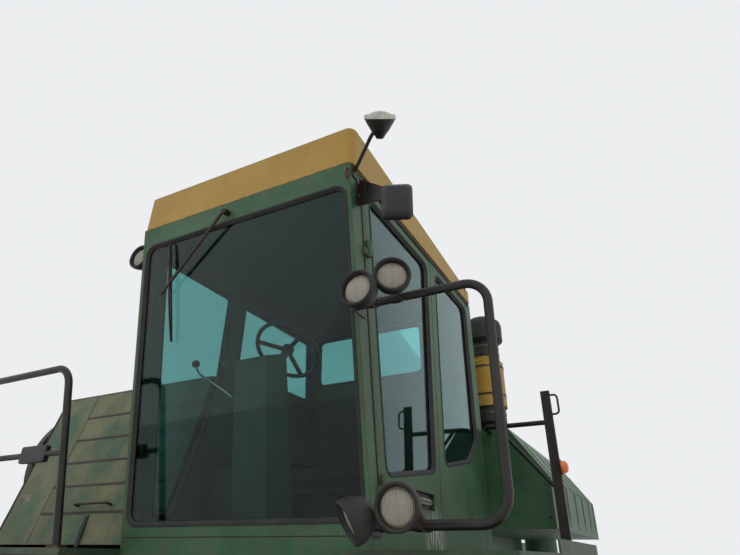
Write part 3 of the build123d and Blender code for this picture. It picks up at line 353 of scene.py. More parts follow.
def lensPlastic(name, base):
    # Moulded acrylic lens: coloured through, glossy on top, letting some light into it
    material, tree, place = newMaterial(name)
    fine = addNode(tree, "TexNoise", Vector=place, Scale=60.0, Detail=4.0)
    rough = addNode(tree, "MapRange", Value=fine, To_Min=0.12, To_Max=0.34)
    shader = addNode(tree, "BsdfPrincipled", Base_Color=linearColour(base), Roughness=rough,
                     Transmission_Weight=0.35, Coat_Weight=0.5)
    addNode(tree, "OutputMaterial", Surface=shader)
    return material


def mouldedRubber(name, base, dusty, rough, grain):
    # Vulcanised rubber gone grey: dull, with dust held in its grain
    noise = dict(Scale=3.0, Detail=6.0, Roughness=0.65)
    material, tree, place, _, colour = mottledMaterial(name, base, dusty, noise, (0.40, 0.72))
    fine = addNode(tree, "TexNoise", Vector=place, Scale=grain, Detail=4.0)
    bump = addNode(tree, "Bump", Strength=0.25, Distance=0.001, Height=fine)
    shader = addNode(tree, "BsdfPrincipled", Base_Color=colour, Roughness=rough, Normal=bump)
    addNode(tree, "OutputMaterial", Surface=shader)
    return material


def wornSteel(name, base, stain, metallic, rough):
    # Bare rolled steel, handled and weathered: bright where it rubs, brown where it doesn't
    noise = dict(Scale=6.0, Detail=8.0, Roughness=0.7)
    material, tree, _, wide, colour = mottledMaterial(name, base, stain, noise, (0.44, 0.62))
    roughness = addNode(tree, "MapRange", Value=wide, From_Min=0.4, From_Max=0.65, To_Min=rough[0],
                        To_Max=rough[1])
    bump = addNode(tree, "Bump", Strength=0.2, Distance=0.001, Height=wide)
    shader = addNode(tree, "BsdfPrincipled", Base_Color=colour, Roughness=roughness, Normal=bump,
                     Metallic=metallic)
    addNode(tree, "OutputMaterial", Surface=shader)
    return material


def grainedPlastic(name, base, pale, rough, grain):
    # Moulded plastic or vinyl with a pressed leather grain, worn paler on its crowns
    noise = dict(Scale=5.0, Detail=5.0)
    material, tree, place, _, colour = mottledMaterial(name, base, pale, noise, (0.45, 0.75))
    cells = addNode(tree, "TexVoronoi", Vector=place, Scale=grain)
    bump = addNode(tree, "Bump", Strength=0.3, Distance=0.0008, Height=cells)
    shader = addNode(tree, "BsdfPrincipled", Base_Color=colour, Roughness=rough, Normal=bump)
    addNode(tree, "OutputMaterial", Surface=shader)
    return material


def patternedPaint(name, base, pale, cell, studs):
    # Painted sheet, rolled with raised studs or else punched with dark round holes, cell apart
    noise = dict(Scale=4.0, Detail=6.0, Roughness=0.65)
    material, tree, place, _, colour = mottledMaterial(name, base, pale, noise, (0.42, 0.70))
    cells = addNode(tree, "TexVoronoi", Vector=place, Scale=1.0 / cell, Randomness=0.0)
    spot = addNode(tree, "MapRange", Value=cells, From_Min=0.30, From_Max=0.36, To_Min=1.0, To_Max=0.0)
    if not studs:
        colour = addNode(tree, "Mix", {"data_type": "RGBA"}, Factor=spot, i6=colour,
                         i7=linearColour("#0c0c0b"))
    strength, depth = (0.6, 0.0018) if studs else (0.4, -0.001)
    bump = addNode(tree, "Bump", Strength=strength, Distance=depth, Height=spot)
    shader = addNode(tree, "BsdfPrincipled", Base_Color=colour, Roughness=0.62, Normal=bump)
    addNode(tree, "OutputMaterial", Surface=shader)
    return material


paints = {key: enamelPaint(f"{key}Enamel", finish) for key, finish in agedEnamel.items()}
windshieldGlass = tintedGlass("windshieldGlass", "#a3c4bf")  # lightly tinted, the seat shows through it
sideGlass = tintedGlass("sideGlass", "#86bfc0")  # deeper blue-green
lampGlass = lensPlastic("lampGlass", "#a39d8f")  # pressed lamp glass under a film of dust
amberLens = lensPlastic("amberLens", "#f07c14")  # bright orange through and through
redLens = lensPlastic("redLens", "#a5140f")  # tail lamp red
blackRubber = mouldedRubber("blackRubber", "#141414", "#2c2a27", 0.62, 300.0)  # seals and belts, greyed
hoodRubber = mouldedRubber("hoodRubber", "#0d0d0c", "#26231f", 0.55, 260.0)  # lamp cups, nearly black
tyreRubber = mouldedRubber("tyreRubber", "#1d1c1b", "#4a4238", 0.8, 160.0)  # earth rubbed into the rubber
castIron = wornSteel("castIron", "#3a3b3a", "#4a3a2c", 0.3, (0.6, 0.85))  # dark, dull, browning
rubbedSteel = wornSteel("rubbedSteel", "#8d8a84", "#5a4431", 0.9, (0.3, 0.7))  # grey where it is touched
dullSteel = wornSteel("dullSteel", "#5f5b55", "#4a3626", 0.75, (0.45, 0.8))  # bolt heads and clamps
lampSilver = wornSteel("lampSilver", "#9a968c", "#6f6a60", 1.0, (0.22, 0.5))  # clouded reflector
chromeSteel = wornSteel("chromeSteel", "#c9c9c6", "#a39d92", 1.0, (0.12, 0.35))  # bright, slight bloom
mirrorSilver = wornSteel("mirrorSilver", "#dde2e4", "#b9bfc1", 1.0, (0.03, 0.14))  # reflects sharply
blackVinyl = grainedPlastic("blackVinyl", "#131314", "#242322", 0.5, 420.0)  # seat cover, soft sheen
blackPlastic = grainedPlastic("blackPlastic", "#17171a", "#29282a", 0.45, 600.0)  # mirror shell and knobs

slotMaterials = {
    "green_paint": paints["green"], "yellow_paint": paints["mustard"], "black_paint": paints["rail"],
    "frame_paint": paints["frame"], "wheel_yellow": paints["wheel"], "tinted_glass": sideGlass,
    "lamp_glass": lampGlass, "amber_lens": amberLens, "black_rubber": blackRubber, "tyre": tyreRubber,
    "black_vinyl": blackVinyl, "black_plastic": blackPlastic, "cast_iron": castIron,
    "worn_steel": rubbedSteel}
# nodes whose paint differs from their slot's
nodePaints = dict(
    windshield=windshieldGlass, cab_shell=paints["shell"], cab_door=paints["shell"],
    engine_cover=paints["cover"],
    rotary_screen=patternedPaint("punchedSheet", "#1f3d28", "#3c5241", 0.014, False),
    decks=patternedPaint("treadSheet", "#223b29", "#4a4d3c", 0.032, True), screen_ring=paints["rail"])
for part in frame["record"]["subparts"]:
    worn = nodes[part["node"]].data.materials
    worn.clear()
    worn.append(nodePaints.get(part["node"], slotMaterials[part["material_slot"]]))
# the record's slot for each material that a new piece wears
slotOf = {material.name: slot for slot, material in slotMaterials.items()}
slotOf.update(shellEnamel="green_paint", hoodRubber="black_rubber", redLens="amber_lens")
slotOf.update({steel.name: "worn_steel" for steel in (dullSteel, lampSilver, chromeSteel, mirrorSilver)})
print("materials set")


def solidsOf(name):
    # Points of each solid of a CAD node: triangles that share a corner (to 0.1 mm) belong to one solid
    mesh = nodes[name].data
    points = meshPoints(mesh)
    corners = np.empty(len(mesh.loops), int)
    mesh.loops.foreach_get("vertex_index", corners)
    same = np.unique(np.round(points, 4), axis=0, return_inverse=True)[1].reshape(-1)
    faces = same[corners].reshape(-1, 3)
    label = np.arange(same.max() + 1)
    while True:
        fresh = label.copy()
        np.minimum.at(fresh, faces.ravel(), np.repeat(label[faces].min(1), 3))
        if (fresh == label).all():
            break
        label = fresh
    owner = label[same]
    return [np.unique(np.round(points[owner == k], 5), axis=0) for k in np.unique(owner)]


def flatAxis(points, away):
    # The direction in which a thin solid is thinnest (least singular value), pointing away from a place
    middle = (points.max(0) + points.min(0)) / 2
    axis = np.linalg.svd(points - points.mean(0), full_matrices=False)[2][2]
    return axis * np.sign((middle - np.asarray(away)) @ axis)


def paneLoop(points, normal):
    # The outline of a flat convex pane: its outer face's corners in order of their angle round the middle
    depth = points @ normal
    outer = points[depth > depth.max() - 0.0005]
    middle = (outer.max(0) + outer.min(0)) / 2
    side, up, _ = basis(normal)
    return outer[np.argsort(np.arctan2((outer - middle) @ up, (outer - middle) @ side))]


def loopPart(loop, section, normal):
    # A section (inward, outward) carried round a closed flat loop, its inward part stretched at each mitre
    loop = np.asarray(loop, float)
    normal = unit(normal)
    ahead = np.roll(loop, -1, 0) - loop
    ahead /= np.linalg.norm(ahead, axis=1)[:, None]
    tangent = ahead + np.roll(ahead, 1, 0)
    tangent /= np.linalg.norm(tangent, axis=1)[:, None]
    inward = np.cross(normal, tangent) / np.maximum((tangent * ahead).sum(1), 0.4)[:, None]
    return ringLoft(swept(loop, section, inward, normal), wrap=True)


# window seals: how deep the panes stand in their openings, and the bead's cover, lip and height
windowSeals = dict(cabMiddle=(0.62, -1.8, 2.7), sideDepth=0.0195, windOuter=0.014, windInner=0.023,
                   cover=0.016, lip=0.007, proud=0.004)


def sealSection(depth, look):
    # Rubber bead: covers the pane's edge, fills the opening's corner, laps over the sheet with a rounded lip
    cover, lip, proud = look["cover"], look["lip"], look["proud"]
    return ((-0.0005, 0.0), (cover, 0.0005), (cover + 0.002, 0.004), (cover * 0.7, depth * 0.6),
            (0.004, depth + proud * 0.8), (-0.001, depth + proud), (-lip * 0.8, depth + proud * 0.8),
            (-lip, depth + 0.0002), (-0.0005, depth + 0.0002))


def sealPane(name, points, outerDepth, innerDepth, look, body="machine"):
    # The bead carried round the pane's outer and inner face, as deep as each stands in its opening
    normal = flatAxis(points, look["cabMiddle"])
    parts = [loopPart(paneLoop(points, way), sealSection(depth, look), way)
             for way, depth in ((normal, outerDepth), (-normal, innerDepth))]
    return meshPiece(name, parts, blackRubber, body)


sideDepth = windowSeals["sideDepth"]
sealPane("windshieldSeal", solidsOf("windshield")[0], windowSeals["windOuter"], windowSeals["windInner"],
         windowSeals)
sealPane("doorSeal", solidsOf("door_glass")[0], sideDepth, sideDepth, windowSeals, "door")
for number, pane in enumerate(solidsOf("cab_glass")):
    sealPane(f"cabSeal{number + 1}", pane, sideDepth, sideDepth, windowSeals)
print("window seals made")

# work lamps: rubber cup with a thick rounded hood, silvered bowl, ribbed glass, stalk and tube clamp
workLamps = dict(
    lensRadius=0.0612, ribs=15, ribHeight=0.0032, crown=0.009, lensLift=0.0115, depth=0.105, lensSeat=0.034,
    cup=((0.0002, 0.0), (0.026, 0.0), (0.031, 0.002), (0.045, 0.009), (0.058, 0.020), (0.069, 0.040),
         (0.077, 0.062), (0.080, 0.074), (0.081, 0.088), (0.0805, 0.098), (0.0785, 0.103), (0.0745, 0.1055),
         (0.070, 0.104), (0.0668, 0.100), (0.064, 0.091), (0.0625, 0.086), (0.0625, 0.071), (0.0002, 0.071)),
    bowl=((0.0002, 0.0004), (0.0622, 0.0004), (0.0622, 0.0110), (0.0570, 0.0098), (0.040, 0.0045),
          (0.020, 0.0018), (0.0002, 0.001)),
    stalkRadius=0.009, stalkIn=0.006, stalkRise=0.014, stalkSag=0.004, stalkBend=0.02, tubeRadius=0.019,
    tubeY=-2.785, clampHalf=0.018, clampGap=0.0003, clampWall=0.004, lugHalf=0.012, lugSpan=(0.002, 0.022),
    wallX=(-0.1215, -0.1155), wallY=(-2.812, -2.788, -2.764), wallHalf=0.030, armFrom=0.058,
    leadRadius=0.0032, leadFrom=(0.099, (0.012, 0.0, -0.020)), leadTo=(0.045, -0.006, -0.019), leadSag=0.045,
    lamps=(  # rim centre; the way it faces; its stalk's foot x (None on the wall) and its height
        ((1.503, -3.062, 2.737), (-0.05, -1.00, 0.0), 1.440, 2.795),  # upper inner
        ((1.621, -2.961, 2.821), (0.45, -0.89, 0.0), 1.560, 2.795),  # upper outer
        ((1.455, -2.996, 1.873), (-0.664, -0.574, -0.479), 1.500, 1.879),  # lower inner
        ((1.638, -2.993, 1.923), (0.05, -0.99, -0.10), 1.640, 1.879),  # lower outer
        ((-0.199, -2.846, 3.438), (0.0, -1.0, 0.0), None, 3.438)))  # right roof post
topLamp = dict(
    lensRadius=0.0690, ribs=9, ribHeight=0.0010, crown=0.024, lensLift=0.0010, rim=(1.602, -3.040, 3.644),
    facing=(0.315, -0.635, 0.706), depth=0.105, armRadius=0.0095, armBend=0.03,
    arm=((1.580, -3.020, 3.595), (1.539, -3.000, 3.592), (1.470, -2.935, 3.585), (1.362, -2.850, 3.538)),
    foot=((1.3553, -2.868, 3.500), (1.3613, -2.822, 3.560)),
    shell=((0.0002, 0.0), (0.014, 0.0), (0.018, 0.003), (0.031, 0.023), (0.043, 0.038), (0.052, 0.053),
           (0.061, 0.067), (0.068, 0.080), (0.074, 0.090), (0.077, 0.097), (0.077, 0.1045), (0.0745, 0.1052),
           (0.0705, 0.1046), (0.0705, 0.100), (0.0002, 0.100)),
    bezel=((0.0700, 0.0002), (0.0705, 0.0050), (0.0735, 0.0068), (0.0768, 0.0045), (0.0782, -0.002),
           (0.0782, -0.012), (0.0773, -0.012), (0.0768, 0.0002)),
    bowl=((0.0002, -0.0045), (0.0695, -0.0045), (0.0698, -0.0002), (0.040, -0.0020), (0.0002, -0.0030)),
    clip=((0.0002, 0.0), (0.0055, 0.0), (0.0055, 0.0030), (0.0040, 0.0042)), clipPlace=(0.0742, 0.0062),
    clipAngles=(30, 150, 270))


def ribbedLens(middle, axis, look, rows=34, columns=128):
    # Lens front: height = crown (1 - (r/R)^2) + rib |sin(ribs pi x / 2R)|, x across; flat at the back
    side, up, forward = basis(axis)
    reach = look["lensRadius"]
    radius = np.linspace(0.02, 1.0, rows)[:, None] * reach
    angle = np.linspace(0, 2 * np.pi, columns, endpoint=False)[None, :]
    across, tall = radius * np.cos(angle), radius * np.sin(angle)
    height = (look["crown"] * (1 - (radius / reach) ** 2) + (radius < reach * 0.97)
              * look["ribHeight"] * np.abs(np.sin(look["ribs"] * np.pi * (across / reach) / 2)))
    front = middle + across[..., None] * side + tall[..., None] * up + height[..., None] * forward
    back = front[-1:] - 0.006 * forward
    return ringLoft(np.concatenate([back, front[::-1]]))


def lampArm(back, way, footX, tubeZ, look):
    # A bent stalk down to a sleeve round the rail's tube, with a square lug on the sleeve
    half, inner = look["clampHalf"], look["tubeRadius"] + look["clampGap"]
    tube = np.array([footX, look["tubeY"], tubeZ])
    top = tube + (0, 0, look["tubeRadius"] + look["stalkRise"])
    outer = look["tubeRadius"] + look["clampWall"]
    low, high = look["lugSpan"]
    bend = (back + top) / 2 - (0, 0, look["stalkSag"])
    return [tubePart(smoothPath([back + way * look["stalkIn"], bend, top], look["stalkBend"]),
                     look["stalkRadius"]),
            turnedRing(((inner, -half), (outer, -half), (outer, half), (inner, half)), tube, (1, 0, 0), 40),
            boxPart(tube + (-look["lugHalf"], -look["lugHalf"], look["tubeRadius"] + low),
                    tube + (look["lugHalf"], look["lugHalf"], look["tubeRadius"] + high))]


lampCups, lampArms, lampBowls, lampGlasses, lampLeads = [], [], [], [], []
for rim, facing, footX, tubeZ in workLamps["lamps"]:
    rim, way = np.array(rim), unit(facing)
    back = rim - way * workLamps["depth"]
    seat = back + way * (workLamps["depth"] - workLamps["lensSeat"])
    lampCups.append(turnedPart(workLamps["cup"], back, way, 56))
    lampBowls.append(turnedPart(workLamps["bowl"], seat, way))
    lampGlasses.append(ribbedLens(seat + way * workLamps["lensLift"], way, workLamps))
    if footX is None:
        (wallOut, wallIn), (front, mid, rear) = workLamps["wallX"], workLamps["wallY"]
        wallArm = np.linspace(rim - way * workLamps["armFrom"], (wallIn, mid, tubeZ), 4)
        lampArms.append(tubePart(wallArm, workLamps["stalkRadius"]))
        lampArms.append(boxPart((wallOut, front, tubeZ - workLamps["wallHalf"]),
                                (wallIn, rear, tubeZ + workLamps["wallHalf"])))
        continue
    lampArms.extend(lampArm(back, way, footX, tubeZ, workLamps))
    # the lead hangs in a curve (1 - s)^2 start + 2 s (1 - s) sag + s^2 end
    (behind, offset), (aside, ahead, below) = workLamps["leadFrom"], workLamps["leadTo"]
    start = rim - way * behind + np.array(offset)
    end = np.array([footX + aside, workLamps["tubeY"] + ahead, tubeZ + below])
    sag = (start + end) / 2 - (0.0, 0.0, workLamps["leadSag"])
    s = np.linspace(0, 1, 14)[:, None]
    lampLeads.append(tubePart((1 - s) ** 2 * start + 2 * s * (1 - s) * sag + s ** 2 * end,
                              workLamps["leadRadius"], 8))
topWay, topRim = unit(topLamp["facing"]), np.array(topLamp["rim"])
topSide, topUp, _ = basis(topWay)
clipRadius, clipOut = topLamp["clipPlace"]
topShell = turnedPart(topLamp["shell"], topRim - topWay * topLamp["depth"], topWay, 64)
topClips = [turnedPart(topLamp["clip"], topRim + (np.cos(a) * topSide + np.sin(a) * topUp) * clipRadius
                       + topWay * clipOut, topWay, 12) for a in np.radians(topLamp["clipAngles"])]
lampGlasses.append(ribbedLens(topRim + topWay * topLamp["lensLift"], topWay, topLamp))
lampBowls.append(turnedPart(topLamp["bowl"], topRim, topWay))
lampArms.append(tubePart(smoothPath(topLamp["arm"], topLamp["armBend"]), topLamp["armRadius"]))
lampArms.append(boxPart(*topLamp["foot"]))
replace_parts(meshPiece("lampCups", lampCups, hoodRubber), "work_lamps")
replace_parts(meshPiece("lampArms", lampArms + [topShell], paints["rail"]), "work_lamps")
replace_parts(meshPiece("lampGlasses", lampGlasses, lampGlass), "lamp_lenses")
meshPiece("topLampBezel", [turnedRing(topLamp["bezel"], topRim, topWay)] + topClips, chromeSteel)
meshPiece("lampBowls", lampBowls, lampSilver)
meshPiece("lampLeads", lampLeads, blackRubber)
print("work lamps made")


def boltPart(spot, normal, radius, height=0.007):
    # Hexagon head on a washer: two lathes about the bolt's axis, six steps and sixteen
    washer = ((radius * 1.45, -0.0003), (radius * 1.45, 0.0015), (radius * 1.3, 0.002))
    head = ((radius, 0.0018), (radius, height * 0.85), (radius * 0.86, height))
    return [turnedPart(washer, spot, normal, 16), turnedPart(head, spot, normal, 6)]


def boltPiece(name, spots, normal, radius, body="machine"):
    # Bolts at their places; normal is one direction or one for each
    spots = np.asarray(spots, float).reshape(-1, 3)
    normals = np.broadcast_to(np.asarray(normal, float), spots.shape)
    parts = [part for spot, way in zip(spots, normals) for part in boltPart(spot, way, radius)]
    return meshPiece(name, parts, dullSteel, body)


def bandStrip(path, width, thick, normal):
    # A bevelled flat section, width across and thick along the plane's normal, sunk 0.2 mm, along a path
    path = np.asarray(path, float)
    half, low = width / 2, thick * 0.7
    section = ((-0.0002, -half), (low, -half), (thick, -width * 0.36), (thick, width * 0.36), (low, half),
               (-0.0002, half))
    normal = unit(normal)
    tangent = np.gradient(path, axis=0)
    tangent /= np.linalg.norm(tangent, axis=1)[:, None]
    return ringLoft(swept(path, section, normal, np.cross(tangent, normal)))


# cab trim: strip and seal up the front post, and in the door's recess its handle's paddle and liner, each an
# outline, a middle and a thickness
cabTrim = dict(
    wallX=1.355, foot=(-2.515, 1.90), head=(-2.768, 3.545), strip=(0.018, 0.003), seal=(0.010, 0.004),
    sealBack=0.016, paddle=((0.170, 0.030, 0.010), (1.3505, -2.010, 2.030), 0.004),
    liner=((0.2455, 0.0795, 0.004), (1.3345, -2.017, 2.030), 0.002))


def sideStrip(foot, head, size, x):
    # A flat strip on the cab's left wall from foot to head (y, z): rectangle section along the line
    width, thick = size
    path = np.array([(x + thick / 2, *foot), (x + thick / 2, *head)])
    half, deep = width / 2, thick / 2
    section = ((-half, -deep), (half, -deep), (half, deep), (-half, deep))
    return tubePart(path, 1.0, up=(1.0, 0.0, 0.0), section=section)


(footY, footZ), (headY, headZ), sealBack = cabTrim["foot"], cabTrim["head"], cabTrim["sealBack"]
meshPiece("postStrip", [sideStrip(cabTrim["foot"], cabTrim["head"], cabTrim["strip"], cabTrim["wallX"])],
          paints["shell"])
meshPiece("postSeal", [sideStrip((footY - sealBack, footZ), (headY - sealBack, headZ), cabTrim["seal"],
                                 cabTrim["wallX"])], blackRubber)
for name, key, material in (("handlePaddle", "paddle", rubbedSteel), ("handleLiner", "liner", blackPlastic)):
    outline, middle, thick = cabTrim[key]
    plate = platePart(roundedOutline(*outline), middle, (0, -1, 0), (0, 0, 1), thick)
    meshPiece(name, [plate], material, "door")
print("cab trim made")

# engine cover: grab handle, latch strap, blank plate, seams, black strips painted as the shade in the
# grooves along its ribs, bolts on its roof, and the box on the rail before it; places on its leaning front
# are (x, z, out)
engineCover = dict(
    footY=-2.381, footZ=1.8003, lean=0.243,
    handle=((-0.905, 2.044, -0.002), (-0.905, 2.044, 0.040), (-0.600, 2.044, 0.040),
            (-0.600, 2.044, -0.002)),
    handleBend=0.018, handleRadius=0.007,
    strap=((-0.78, 1.985, 0.003), (-0.765, 1.90, 0.010), (-0.757, 1.83, 0.006), (-0.757, 1.808, 0.003)),
    strapSection=((-0.016, -0.002), (0.016, -0.002), (0.016, 0.002), (-0.016, 0.002)),
    plate=((0.110, 0.045, 0.006), (-1.52, 2.112, 0.0004), 0.0012, 0.0005),
    strips=(  # name; its (x, z) places; width and thickness
        ("coverSeal", ((-1.620, 1.82), (-1.620, 2.30), (-1.620, 2.84)), 0.012, 0.005),
        ("coverTopSeam", ((-1.61, 2.842), (-0.9, 2.842), (-0.13, 2.842)), 0.006, 0.0008),
        ("coverPanelSeam", ((-1.258, 1.82), (-1.258, 2.30), (-1.258, 2.84)), 0.008, 0.0008)),
    # the grooves' places, then the width and thickness of the black strips that paint the shade in them
    grooveX=(-1.2535, -0.1165), grooveZ=(2.661, 2.492, 2.330, 2.172, 2.003), groove=(0.0155, 0.0007),
    roofZ=2.8522, roofX=(-1.59, -1.0, -0.16), roofY=(-2.05, -1.45, -0.90), boltRadius=0.008,
    boxX=(-0.556, -0.347), boxZ=(2.190, 2.275), boxY=-2.9865, boxCorner=0.010, boxDepth=0.030,
    boxBevel=0.004)
coverNormal = np.array([0.0, -1.0, engineCover["lean"]]) / np.hypot(1.0, engineCover["lean"])
coverUp = np.cross(coverNormal, (-1.0, 0.0, 0.0))


def onCover(x, z, out=0.0):
    # A place on the leaning cover at x and height z, out along its normal
    y = engineCover["footY"] + (z - engineCover["footZ"]) * engineCover["lean"]
    return np.array([x, y, z]) + coverNormal * out


coverHandle = smoothPath([onCover(*spot) for spot in engineCover["handle"]], engineCover["handleBend"])
meshPiece("coverHandle", [tubePart(coverHandle, engineCover["handleRadius"])], paints["rail"])
strapPath = np.array([onCover(*spot) for spot in engineCover["strap"]])
strap = tubePart(strapPath, 1.0, up=coverNormal, section=engineCover["strapSection"])
meshPiece("latchStrap", [strap], blackRubber)
outline, spot, thick, bevel = engineCover["plate"]
plate = platePart(roundedOutline(*outline), onCover(*spot), (-1, 0, 0), -coverUp, thick, bevel)
meshPiece("blankPlate", [plate], rubbedSteel)
for name, spots, width, thick in engineCover["strips"]:
    meshPiece(name, [bandStrip([onCover(x, z) for x, z in spots], width, thick, coverNormal)], blackRubber)
# painted shade: black strips laid along the grooves stand for the shade that falls in them
meshPiece("coverGrooveShade", [bandStrip([onCover(x, z) for x in engineCover["grooveX"]], *engineCover["groove"],
                                     coverNormal) for z in engineCover["grooveZ"]], blackRubber)
boltPiece("coverRoofBolts", [(x, y, engineCover["roofZ"]) for x in engineCover["roofX"]
                             for y in engineCover["roofY"]], (0, 0, 1), engineCover["boltRadius"])
(boxX0, boxX1), (boxZ0, boxZ1) = engineCover["boxX"], engineCover["boxZ"]
meshPiece("railBox", [platePart(
    roundedOutline(boxX1 - boxX0, boxZ1 - boxZ0, engineCover["boxCorner"]),
    ((boxX0 + boxX1) / 2, engineCover["boxY"], (boxZ0 + boxZ1) / 2), (-1, 0, 0), (0, 0, 1),
    engineCover["boxDepth"], engineCover["boxBevel"])], blackPlastic)
print("engine cover dressed")

# wiper: sprung arm, blade holder and rubber on the windshield, places from its middle (x, up, out)
windLean = np.radians(9.88)
windNormal = np.array([0.0, -np.cos(windLean), -np.sin(windLean)])
windUp = np.array([0.0, -np.sin(windLean), np.cos(windLean)])
wiperLook = dict(
    windFoot=(0.62, -2.610, 1.900), pivot=(-0.060, 1.624), tip=(-0.541, 1.232), bladeHigh=(-0.497, 1.550),
    bladeLow=(-0.447, 0.939), armFrom=0.03, armOut=(0.040, 0.016), rubberOut=0.004, bowOut=(0.011, 0.012),
    bowRadius=0.0045, hub=((0.0170, 0.0), (0.0185, 0.018), (0.0175, 0.040), (0.0120, 0.046)), hubOut=0.0004,
    arm=((-0.009, -0.004), (0.009, -0.004), (0.007, 0.006), (-0.007, 0.006)),
    rubber=((-0.003, -0.004), (0.003, -0.004), (0.006, 0.007), (-0.006, 0.007)))


def onWind(x, up, out=0.0):
    # A place on the windshield's plane: x from its middle, up along it, out along its normal
    return np.array(wiperLook["windFoot"]) + np.array([x, 0.0, 0.0]) + windUp * up + windNormal * out


pivot, tip, high, low = (np.array(wiperLook[key]) for key in ("pivot", "tip", "bladeHigh", "bladeLow"))
armRun = pivot + (tip - pivot) * np.linspace(wiperLook["armFrom"], 1.0, 8)[:, None]
armOut = np.linspace(*wiperLook["armOut"], 8)
armPath = np.array([onWind(x, up, out) for (x, up), out in zip(armRun, armOut)])
bladeRun = low + (high - low) * np.linspace(0.0, 1.0, 12)[:, None]
rubberPath = np.array([onWind(x, up, wiperLook["rubberOut"]) for x, up in bladeRun])
# the holder bows out by a half wave, sin t
bowLow, bowRise = wiperLook["bowOut"]
bowPath = np.array([onWind(x, up, bowLow + bowRise * np.sin(t)) for (x, up), t in
                    zip(bladeRun, np.linspace(0.0, np.pi, 12))])
wiperArm = meshPiece("wiperArm", [
    tubePart(armPath, 1.0, up=windNormal, section=wiperLook["arm"]),
    turnedPart(wiperLook["hub"], onWind(*wiperLook["pivot"], wiperLook["hubOut"]), windNormal, 24),
    tubePart(bowPath, wiperLook["bowRadius"], 8, up=windNormal)], paints["rail"])
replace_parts(wiperArm, "wiper")
wiperBlade = tubePart(rubberPath, 1.0, up=windNormal, section=wiperLook["rubber"])
meshPiece("wiperRubber", [wiperBlade], blackRubber)
print("wiper made")

# cab sheet: joint below the windshield, drip rails, joints at the rear corners, end cap and joints of the
# roof; strips have a width and a thickness
cabSheet = dict(
    front=((-0.733, -0.0485), (0.733, -0.0485)), seam=(0.005, 0.0008), middleX=0.62, dripX=1.3555,
    dripY=(-2.74, -0.98), dripZ=3.556, drip=(0.020, 0.006),
    rear=((1.3552, -0.990, 1.80), (1.3552, -1.010, 2.65), (1.3552, -1.035, 3.56)), rearSeam=(0.005, 0.0006),
    cap=(0.030, 0.018, 0.006), capSpot=(1.3703, -1.080, 3.660), capThick=0.006, roofX=(1.3702, -0.1302),
    roofY=-1.075, roofZ=(3.572, 3.655), roofSeam=(0.005, 0.0007))


def onBothSides(path, size):
    # A strip on the cab's left wall and its mirror image about the cab's middle
    mirrored = np.array(path) * (-1, 1, 1) + (2 * cabSheet["middleX"], 0, 0)
    return [bandStrip(path, *size, (1, 0, 0)), bandStrip(mirrored, *size, (-1, 0, 0))]


dripPath = [(cabSheet["dripX"], y, cabSheet["dripZ"]) for y in np.linspace(*cabSheet["dripY"], 6)]
frontPath = [onWind(*spot) for spot in cabSheet["front"]]
roofJoints = [bandStrip([(x, cabSheet["roofY"], z) for z in cabSheet["roofZ"]], *cabSheet["roofSeam"],
                        (sign, 0, 0)) for x, sign in zip(cabSheet["roofX"], (1, -1))]
meshPiece("frontSeam", [bandStrip(frontPath, *cabSheet["seam"], windNormal)], blackRubber)
meshPiece("cabDripRail", onBothSides(dripPath, cabSheet["drip"]), blackRubber)
meshPiece("cabRearSeam", onBothSides(cabSheet["rear"], cabSheet["rearSeam"]), blackRubber)
meshPiece("roofCap", [platePart(roundedOutline(*cabSheet["cap"]), cabSheet["capSpot"], (0, 1, 0), (0, 0, 1),
                                cabSheet["capThick"])], blackRubber)
meshPiece("roofJoints", roofJoints, blackRubber)
print("cab seams made")

# mirror: tapered shell with a reflecting face and rolled rim, on a sheet bracket bolted to the front post
mirrorLook = dict(
    spot=(1.614, -2.885, 3.245), facing=(0.38, -0.92, -0.05), depth=0.042,
    head=(  # width, height, corner, distance from the back
        (0.096, 0.130, 0.016, -0.042), (0.108, 0.142, 0.021, -0.040), (0.122, 0.158, 0.023, -0.033),
        (0.145, 0.183, 0.026, -0.021), (0.147, 0.185, 0.026, -0.018), (0.147, 0.185, 0.026, -0.002),
        (0.144, 0.182, 0.0245, 0.0)),
    glass=(0.133, 0.170, 0.020), glassThick=0.003, glassBevel=0.001, glassSink=0.0005,
    rim=(0.141, 0.178, 0.024), rimRadius=0.0035,
    sheet=((1.3553, 3.532), (1.600, 3.322), (1.600, 3.288), (1.3553, 3.362)), sheetY=-2.787,
    sheetSlope=0.3445, sheetThick=0.006, foot=((1.3553, -2.8215, 3.362), (1.3613, -2.781, 3.532)),
    bolts=((1.585, -2.8668, 3.305), (1.3613, -2.802, 3.41), (1.3613, -2.802, 3.49)), boltRadius=0.008,
    boltWay=(-0.097, -0.2467, 0.0))
mirrorWay = -unit(mirrorLook["facing"])
mirrorSide, mirrorUp, _ = basis(mirrorWay)
mirrorBack = np.array(mirrorLook["spot"]) + mirrorWay * (mirrorLook["depth"] / 2)


def mirrorRing(wide, tall, corner, depth=0.0):
    # A rounded rectangle square to the way the mirror faces, depth along it
    outline = roundedOutline(wide, tall, corner)
    return mirrorBack + mirrorWay * depth + outline[:, :1] * mirrorSide + outline[:, 1:] * mirrorUp


